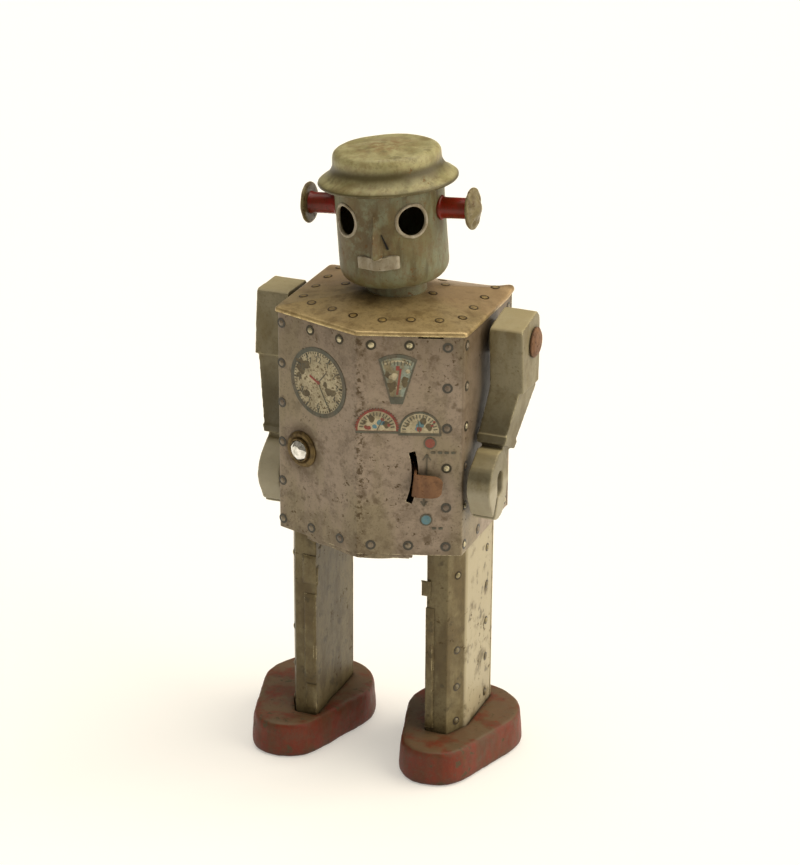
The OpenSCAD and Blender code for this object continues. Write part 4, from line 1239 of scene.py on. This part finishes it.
facing = add(tick_tree, "FunctionNodeEulerToRotation", {0: spin}).outputs[0]
placed = add(tick_tree, "GeometryNodeInstanceOnPoints", {"Points": row, "Instance": block, "Rotation": facing})
close_tree(tick_tree, placed.outputs[0], given["Finish"])


def ticks(name, place, count, radius, length, start, sweep, material, width=0.14, lift=0.05):
    mesh = grown(tick_tree, tick_inputs, bpy.data.meshes.new("seed"), Count=count, Radius=radius * MM,
                 Length=length * MM, Width=width * MM, Start=math.radians(start), Sweep=math.radians(sweep),
                 Finish=material)
    for vertex in mesh.vertices:
        x, y, z = vertex.co / MM
        vertex.co = place(x, y, z + lift) * MM
    return finish_piece(name, mesh, material, "body", smooth=False)


# %% [markdown]
# ## Clock dial, fan gauge and half-round gauges
# The clock dial has a dark ring, a flaking cream face, figures one to twelve, and two hands. The fan gauge is a
# wedge with a red needle. Below it two half-round gauges stand side by side. Small flakes of odd colours lie
# in them, as in a print whose colours have partly come away.

# %% Print the gauges
clock = printer(-1, 9.87, 80.96)
print_ink("clock_ring", [wafer(clock, circle(7.1), 0.05, circle(6.25))], dark_ink)
print_ink("clock_face", [wafer(clock, circle(6.25), 0.03)], cream_ink)
ticks("clock_ticks", clock, 61, 5.95, 0.35, 0, 360, dark_ink, 0.12)
ticks("clock_hours", clock, 13, 5.75, 0.8, 0, 360, dark_ink, 0.3)
strokes = []
for hour in range(1, 13):
    a = math.radians(90 - 30 * hour)
    strokes += figure(clock, str(hour), 4.75 * math.cos(a), 4.75 * math.sin(a), 1.15, 0.07)
strokes += [bar(clock, (0, 0), (2.3, -4.1), 0.2, 0.08), bar(clock, (0, 0), (2.1, 2.5), 0.2, 0.08)]
print_ink("clock_figures_and_hands", strokes, dark_ink)
red_hand = [bar(clock, (-2.2, 1.0), (0.1, -0.1), 0.45, 0.075), wafer(clock, circle(0.4, 16), 0.09)]
print_ink("clock_red", red_hand, red_ink)
print_flakes("clock_flakes", clock, 0.055, olive_ink,
             (1.5, -4.3, 2.6), (1.0, 3.2, -1.3), (0.8, -3.0, -3.1), (0.6, 1.6, -0.2), (0.6, -5.0, 0.3))

fan = printer(1, 7.8, 79.3)
arch = [(3.69 * t, 9.05 + 1.05 * (1 - t * t)) for t in spread(1, -1, 13)]
fan_rim = [(-1.3, 0), (1.0, 0)] + arch
fan_middle = (-0.05, 5.3)
print_ink("fan_frame", [wafer(fan, fan_rim, 0.05, scaled(fan_rim, 0.86, *fan_middle))], dark_ink)
print_ink("fan_face", [wafer(fan, scaled(fan_rim, 0.87, *fan_middle), 0.03)], pale_ink)
band = scaled(arch, 0.72, *fan_middle)
print_ink("fan_band", [bar(fan, a, b, 0.35, 0.05) for a, b in zip(band, band[1:])], cream_ink)
needle = [bar(fan, (-0.1, 1.9), (0.55, 7.2), 0.42, 0.07), bar(fan, (-0.3, 7.3), (0.35, 7.3), 0.9, 0.07)]
print_ink("fan_needle", needle, red_ink)
print_ink("fan_cap", [wafer(fan, [(-1.25, 0.5), (0.95, 0.5), (1.15, 1.5), (-1.45, 1.5)], 0.06)]
          + [bar(fan, (x, 7.9), (x * 1.06, 8.7), 0.16, 0.07) for x in spread(-2.6, 2.6, 9)], dark_ink)
print_flakes("fan_flakes", fan, 0.045, olive_ink, (0.9, -1.0, 3.6), (0.85, 1.4, 4.6), (0.7, -1.9, 6.0))
print_flakes("fan_sheen", fan, 0.05, cream_ink, (0.7, -0.9, 5.6), (0.5, 0.1, 3.3), (0.45, 1.9, 6.6))


def half_round(radius, foot):
    return [(radius, -foot)] + ring_of(radius, 25, 0, 180) + [(-radius, -foot)]


# mark is how far to the right this gauge's hand and flakes stand
for label, u, z, rim_ink, mark in (("left", 3.87, 74.1, red_ink, 0.4), ("right", 12.1, 73.75, dark_ink, 2.1)):
    gauge = printer(1, u, z)
    outer = half_round(4.05, 0.72)
    inner = half_round(3.68, 0.35)
    print_ink(f"gauge_{label}_rim", [wafer(gauge, outer, 0.05, inner)], rim_ink)
    print_ink(f"gauge_{label}_face", [wafer(gauge, half_round(3.72, 0.4), 0.03)], cream_ink)
    print_ink(f"gauge_{label}_base", [bar(gauge, (-4.1, -0.65), (4.1, -0.65), 0.5, 0.07),
                                      bar(gauge, (0, -0.3), (1.7 - mark, 2.4), 0.16, 0.07)], dark_ink)
    ticks(f"gauge_{label}_ticks", gauge, 15, 3.05, 0.75, 8, 164, dark_ink, 0.17)
    print_flakes(f"gauge_{label}_red", gauge, 0.05, red_ink,
                 (0.5, mark - 2.2, 0.35), (0.35, mark + 0.6, 1.9), (0.3, 2.4, 0.7 + mark * 0.3))
    print_flakes(f"gauge_{label}_blue", gauge, 0.045, blue_ink, (0.6, 0.9 - mark * 0.4, 1.4), (0.4, -0.4, 0.4))
    print_flakes(f"gauge_{label}_brown", gauge, 0.045, olive_ink,
                 (0.6, mark - 1.4, 2.0), (0.55, 1.7, 0.9), (0.4, -2.2, 1.4))
ticks("gauge_left_teeth", printer(1, 3.87, 74.1), 24, 4.1, 0.34, 4, 172, red_ink, 0.24)

marks = []
for place, colour in ((printer(1, 14.09, 71.33), red_ink), (printer(1, 13.47, 55.26), blue_ink)):
    print_ink("signal_dot_" + colour.name, [wafer(place, circle(0.95, 28), 0.06)], colour)
    marks.append(wafer(place, circle(1.22, 28), 0.05, circle(0.95, 28)))
for place, end, tip, barb, half in ((printer(1, 13.5, 64.1), 4.8, 4.9, 3.7, 0.75),
                                    (printer(1, 13.0, 60.1), -1.9, -2.0, -1.0, 0.6)):
    marks.append(bar(place, (0, 0), (0, end), 0.24, 0.05))
    marks += [bar(place, (0, tip), (x, barb), 0.2, 0.05) for x in (-half, half)]
# Plain dashes stand where the maker printed words
for place, count in ((printer(1, 14.3, 69.4), 4), (printer(1, 14.6, 53.5), 2)):
    marks += [bar(place, (1.3 * k, 0), (1.3 * k + 0.8, 0), 0.42, 0.05) for k in range(count)]
print_ink("signal_marks", marks, dark_ink)
print("pieces so far:", len(made_pieces))


# %% [markdown]
# ## Folded legs
# Each leg is folded from one sheet like the body, with a wide chamfer at its outer front corner. The joint is
# a flap lapped over the front near the inner corner, and on the left leg its top end has sprung out a little.

# %% Fold the legs
CHAMFER_X, CHAMFER_Y = 2.4, 4.9


def leg_outline(sign):
    low, high = box_mm("leg_left" if sign > 0 else "leg_right")
    inside, outside = (low.x, high.x) if sign > 0 else (high.x, low.x)
    path = [(inside, high.y), (inside, low.y), (outside - sign * CHAMFER_X, low.y),
            (outside, low.y + CHAMFER_Y), (outside, high.y)]
    return low, high, inside, rounded_path(path if sign > 0 else path[::-1], 0.4, 0.7, closed=False)


def strip(corner, along, up, out, width, height, thickness, curl=0.0):
    """A thin lapped strip with a rounded edge; curl lifts its far end away from the sheet."""
    rows, columns = 15, 7
    points = []
    for layer in (0, 1):
        for r in range(rows):
            for c in range(columns):
                s, t = c / (columns - 1), r / (rows - 1)
                edge = min(1.0, 5 * min(s, 1 - s) + 0.2, 9 * min(t, 1 - t) + 0.2)
                lift = thickness * edge * layer - 0.15 * (1 - layer) + curl * max(0, t - 0.7) ** 2 * 11
                here = corner + along * (width * s) + up * (height * t) + out * lift
                points.append(here + out * ripple(here, 3, 0.05) * layer)
    return points, sheet_faces(rows, columns)


UP, FRONT = Vector((0, 0, 1)), Vector((0, -1, 0))
LEGS = ((1, "left_leg", "left"), (-1, "right_leg", "right"))
leg_pieces = {}
for sign, body, label in LEGS:
    low, high, inside, path = leg_outline(sign)
    points, faces = sheet_from_path(path, low.z, high.z, 0.9, TIN, 0.06, 3 * sign)
    hip = middle(f"hip_block_{label}")
    hole = round_cutter(Vector((inside, hip.y, middle("crankshaft").z)), (1, 0, 0), 1.1, 2)
    mesh = cut(solid_mesh("leg", points, faces), [hole])
    leg_pieces[sign] = finish_piece(f"folded_leg_{label}", mesh, olive_tin, body)
    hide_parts(f"leg_{label}")
    outwards = Vector((sign, 0, 0))
    corner = Vector((inside, low.y, 0))
    if sign < 0:
        flaps = [strip(corner + UP * 14.2, outwards, UP, FRONT, 2.6, 19.8, 0.5),
                 strip(corner + UP * 36.2, outwards, UP, FRONT, 2.9, 6.2, 0.4),
                 strip(corner + UP * 35.6 - FRONT * 0.2, -FRONT, UP, -outwards, 1.3, 4.2, 0.22),
                 strip(corner + UP * 8.2, outwards, UP, FRONT, 2.3, 5.6, 0.35)]
    else:
        flaps = [strip(corner + UP * 8.0, outwards, UP, FRONT, 1.8, 26.5, 0.45),
                 strip(corner + UP * 37.0 + outwards * 1.0, -outwards, UP, FRONT, 1.9, 3.4, 0.4, 0.35)]
    points, faces = merge(flaps)
    piece(f"leg_flap_{label}", points, faces, olive_tin, body)
print("legs:", [len(leg.data.polygons) for leg in leg_pieces.values()], "faces")


# %% Soften the castings and the key
for label in ("left", "right"):
    soften(f"foot_{label}", f"cast_foot_{label}", brick_red, f"{label}_leg", 0.34, 7, 0.16)
for label in ("left", "right"):
    soften(f"arm_{label}", f"cast_arm_{label}", cast_grey, f"{label}_arm", 0.21, 5, 0.08)
soften("winding_key", "cast_key", worn_nickel, "winder", 0.16, 2, 0.02)


# %% [markdown]
# ## Rivets by Geometry Nodes
# The print shows a rivet every eight millimetres or so along each edge, and each is a small pressed dome in a
# dark ring. A node tree puts one on every point of a seed mesh and turns it to the sheet's own normal, which
# the seed carries as an attribute. A second attribute says how bright the dome has been rubbed.

# %% Rivet tree
RING_THICK = 0.16
rivet_tree, given, rivet_inputs = open_tree(
    "rivets_on_points", ("Dome", FLOAT), ("Ring", FLOAT), ("Height", FLOAT), ("Finish", "NodeSocketMaterial"))
ball = add(rivet_tree, "GeometryNodeMeshUVSphere", {"Segments": 14, "Rings": 8, "Radius": given["Dome"]})
share = calc(rivet_tree, "DIVIDE", given["Height"], given["Dome"])
flatten = add(rivet_tree, "ShaderNodeCombineXYZ", {0: 1.0, 1: 1.0, 2: share}).outputs[0]
dome = add(rivet_tree, "GeometryNodeTransform", {"Geometry": ball.outputs[0], "Scale": flatten})
washer = add(rivet_tree, "GeometryNodeMeshCylinder",
             {"Vertices": 20, "Radius": given["Ring"], "Depth": RING_THICK * MM})
joined = add(rivet_tree, "GeometryNodeJoinGeometry")
for shape, value in ((dome, 0.0), (washer, 1.0)):
    labels = {"Geometry": shape.outputs[0], "Name": "ring", "Value": value}
    marked = add(rivet_tree, "GeometryNodeStoreNamedAttribute", labels, data_type="FLOAT", domain="POINT")
    rivet_tree.links.new(marked.outputs[0], joined.inputs[0])
out = add(rivet_tree, "GeometryNodeInputNamedAttribute", {"Name": "out"}, data_type="FLOAT_VECTOR").outputs[0]
facing = add(rivet_tree, "FunctionNodeAlignRotationToVector", {"Vector": out}, axis="Z").outputs[0]
placed = add(rivet_tree, "GeometryNodeInstanceOnPoints",
             {"Points": given["Geometry"], "Instance": joined.outputs[0], "Rotation": facing})
close_tree(rivet_tree, placed.outputs[0], given["Finish"])


def rivet_finish(name, metal, dull, dark):
    """Rubbed metal on the dome, the sheet's own paint where it is less worn, and a dark ring."""
    material, tree, shader = start_finish(name, 0.4)
    ring = add(tree, "ShaderNodeAttribute", attribute_name="ring").outputs["Fac"]
    shine = add(tree, "ShaderNodeAttribute", attribute_name="shine").outputs["Fac"]
    colour = blend_colour(tree, shine, srgb(dull), srgb(metal))
    colour = blend_colour(tree, step_up(tree, ring, 0.4, 0.6), colour, srgb(dark))
    colour = stain(tree, colour, "#3d3323", blotch(tree, mm_place(tree), 0.7, 0.45, 0.7, 19, 3), 0.6)
    tree.links.new(colour, shader.inputs["Base Color"])
    tree.links.new(times(tree, shine, 0.8), shader.inputs["Metallic"])
    return material


def landed(target, start, direction):
    """Where a straight line meets a piece, and the piece's normal there."""
    hit, spot, normal, _ = target.ray_cast(Vector(start) * MM, Vector(direction))
    return (spot / MM, normal) if hit else None


def rivets(name, target, rays, body, finish, ring=1.0, dome=0.62, height=0.3):
    bpy.context.view_layer.update()
    landings = [found for found in (landed(target, start, direction) for start, direction in rays) if found]
    seed = bpy.data.meshes.new("rivet_seed")
    seed.from_pydata([spot * MM for spot, _ in landings], [], [])
    for label, kind in (("out", "FLOAT_VECTOR"), ("shine", "FLOAT")):
        seed.attributes.new(label, kind, "POINT")
    outs, shines = seed.attributes["out"], seed.attributes["shine"]
    chance = random.Random(7)
    for k, (_, normal) in enumerate(landings):
        outs.data[k].vector = normal
        shines.data[k].value = 0.85 if chance.random() < 0.2 else 0.2 * chance.random()
    mesh = grown(rivet_tree, rivet_inputs, seed, Dome=dome * MM, Ring=ring * MM, Height=height * MM, Finish=finish)
    print(name, "rivets:", len(landings))
    return finish_piece(name, mesh, finish, body)


tin_rivet = rivet_finish("rivet_of_printed_tin", "#c9bf9c", "#6c5d4d", "#3c382c")
gold_rivet = rivet_finish("rivet_of_gold_lacquer", "#a58c58", "#8b7444", "#4a3c22")
leg_rivet = rivet_finish("rivet_of_olive_tin", "#9a8f6c", "#6a5f42", "#3b3222")

# %% Place the rivets
def at_panel(side, u, z):
    out = panel_point(side, 0, 0, 1) - panel_point(side, 0, 0, 0)
    return panel_point(side, u, z, 4), -out


column = spread(90.9, 49.6, 6)
rays = []
for side, edge, pitch in ((1, 17.3, 7.3), (-1, 19.45, 7.5)):
    rays += [at_panel(side, edge, z) for z in column]
    rays += [at_panel(side, edge - step * pitch, z) for step in (1, 2) for z in (91.2, 49.7)]
    inwards = Vector((-side, 0, 0))
    rays += [(Vector((side * (HALF_W + 4), y, z)), inwards) for y in (-12.5, 10.9) for z in column]
    rays += [(Vector((side * (HALF_W + 4), y, 49.6)), inwards) for y in (-4.7, 3.1)]
rivets("body_rivets", casing, rays, "body", tin_rivet)
rays = [(Vector((x, BACK_Y + 4, z)), Vector((0, -1, 0))) for x in (-17.2, 17.2) for z in column]
rays += [(Vector((x, BACK_Y + 4, z)), Vector((0, -1, 0))) for x in (-8.6, 0, 8.6) for z in (91.2, 49.6)]
rivets("back_rivets", NODES["back_cover"], rays, "body", tin_rivet)
spots = [(s * x, -16.4 + 0.37 * x) for s in (1, -1) for x in (3.0, 8.1, 13.2)]
spots += [(s * 16.5, y) for s in (1, -1) for y in spread(-7.8, 10.8, 4)]
spots += [(s * 5.5, 10.6) for s in (1, -1)] + [(-10.6, -0.5), (7.6, -0.3), (7.8, 6.1), (-9.8, 6.2)]
rays = [(Vector((x, y, 120)), Vector((0, 0, -1))) for x, y in spots]
rivets("plate_rivets", plate, rays, "body", gold_rivet, ring=0.92, dome=0.77, height=0.15)
for sign, body, label in LEGS:
    low, high, _, _ = leg_outline(sign)
    outer = high.x if sign > 0 else low.x
    out = Vector((sign * CHAMFER_Y, -CHAMFER_X, 0)).normalized()
    on_chamfer = (outer - sign * CHAMFER_X / 2, low.y + CHAMFER_Y / 2)
    rays = [(Vector((*on_chamfer, z)) + out * 4, -out) for z in (9.2, 16.8, 25.0, 41.4)]
    rays += [(Vector((outer + sign * 4, 3.6, z)), Vector((-sign, 0, 0))) for z in spread(9.5, 42.0, 5)]
    if sign < 0:
        rays.append((Vector((-12.6, low.y - 4, 41.6)), Vector((0, 1, 0))))
    rivets(f"leg_rivets_{label}", leg_pieces[sign], rays, body, leg_rivet, ring=0.85)


# %% [markdown]
# ## The stop lever
# A strip of sheet steel turns on a post inside the body. Its end comes out through the slot and is bent flat
# against the panel for a thumb. The strip is drawn by its side view, with a small radius at each bend.

# %% Bend the lever
REST = math.radians(-6)
LEVER_DEEP, TAB_HALF = 7.2, 2.3


def lever_point(reach, across, lift):
    u = POST_U + reach * math.cos(REST) - across * math.sin(REST)
    z = POST_Z + reach * math.sin(REST) + across * math.cos(REST)
    return panel_point(1, u, z, lift)


side_view = [(LEVER_R - 0.02, -LEVER_DEEP + 0.1), (LEVER_R - 0.02, 2.0), (LEVER_R + 5.4, 1.7)]
profile = rounded_path(side_view, 0.5, 0.35, closed=False)
points, columns = [], 13
for layer in (0, 1):
    for i, spot in enumerate(profile):
        run = (profile[min(i + 1, len(profile) - 1)] - profile[max(i - 1, 0)]).normalized()
        depth = Vector((-run.y, run.x)) * (0.25 - 0.5 * layer)
        left_over = max(0.0, spot.x - (LEVER_R + 3.3)) / 2.15
        half = TAB_HALF - 1.3 * (1 - math.sqrt(max(0.0, 1 - left_over ** 2)))
        for c in range(columns):
            t = 2 * c / (columns - 1) - 1
            droop = -0.35 * max(0, spot.x - LEVER_R - 1) / 4 * max(0, -t)
            wave = ripple((spot.x, t * 2, layer), 1.7, 0.12) if spot.y > 0 else 0
            points.append(lever_point(spot.x + depth.x, t * half, spot.y + depth.y + droop + wave))
tab = (points, sheet_faces(len(profile), columns))
ends = ring_of(1.25, 13, 90, 270)
outline = ends + [(LEVER_R, -1.2), (LEVER_R, 1.2)]
eye = ring_of(0.86, 13, 90, 270) + [(0.7, -0.5), (0.7, 0.5)]
strip_top = -LEVER_DEEP + 0.55
floor_out = lever_point(0, 0, -LEVER_DEEP) - lever_point(0, 0, strip_top)
arm = prism([lever_point(x, y, strip_top) for x, y in outline], floor_out,
            [lever_point(x, y, strip_top) for x, y in eye])
points, faces = merge([tab, arm])
lever = piece("bent_lever", points, faces, rusty_iron, "lever")
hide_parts("speed_lever")

# %% Bend the lip under the prow
lip_path = [panel_point(-1, u, 0, -0.5).xy for u in spread(13.2, 0.5, 20)]
lip_path += [panel_point(1, u, 0, -0.5).xy for u in spread(0.5, 10.2, 16)]
points, faces = sheet_from_path(lip_path, BOTTOM - 1.1, BOTTOM + 0.6, 0.3, 0.35, 0.22, 6)
for i, point in enumerate(points):
    sag = ripple((point.x, 0, 0), 6, 0.5, 4) * max(0, BOTTOM + 0.3 - point.z)
    points[i] = point + Vector((0, 0, sag))
piece("bottom_lip", points, faces, printed_tin, "body")
print("lever and lip done")


# %% [markdown]
# ## Floor and light
# The floor is a wide plain disc, bright enough to look white, so the feet have only a soft shadow to stand on.
# The big light on the right and a little behind brightens the robot's left side; the one overhead brightens
# the hat and the tops of the feet. Both are as large as windows, so no shadow has a hard edge. The colours are
# shown without a film curve, so a paint's own value is what you see.

# %% Light the table
floor_paint, tree, shader = start_finish("matt_white_table", 0.9)
shader.inputs["Base Color"].default_value = srgb("#d6d3cd")
shader.inputs["Emission Color"].default_value = srgb("#fffcf4")
shader.inputs["Emission Strength"].default_value = 0.36
FLOOR_R, FLOOR_SIDES = 4000, 64
floor_rim = [(x, y, 0) for x, y in ring_of(FLOOR_R, FLOOR_SIDES)]
floor_mesh = solid_mesh("table", floor_rim, [tuple(range(FLOOR_SIDES))])
floor_mesh.materials.append(floor_paint)
floor = bpy.data.objects.new("table", floor_mesh)
bpy.context.collection.objects.link(floor)
floor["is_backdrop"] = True


def soft_sun(name, source, spread_degrees, power, tint="#ffffff"):
    data = bpy.data.lights.new(name, "SUN")
    data.angle, data.energy = math.radians(spread_degrees), power
    data.color = srgb(tint)[:3]
    light = bpy.data.objects.new(name, data)
    light.rotation_euler = Vector(source).to_track_quat("Z", "Y").to_euler()
    bpy.context.collection.objects.link(light)


soft_sun("window_right", (0.80, 0.25, 0.55), 70, 2.6, "#fff6e6")
soft_sun("overhead", (-0.05, 0.15, 1.0), 60, 1.9, "#fffaf0")
world = bpy.data.worlds.new("pale_room")
world.use_nodes = True
world.node_tree.nodes["Background"].inputs["Color"].default_value = srgb("#fff5e4")
world.node_tree.nodes["Background"].inputs["Strength"].default_value = 0.22
bpy.context.scene.world = world
bpy.context.scene.view_settings.view_transform = "Standard"

# %% Measure and finish
visual_box = [list(corner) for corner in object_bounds()]
print("visual box in mm:", [[round(v / MM, 1) for v in corner] for corner in visual_box])
print("pieces made:", len(made_pieces))
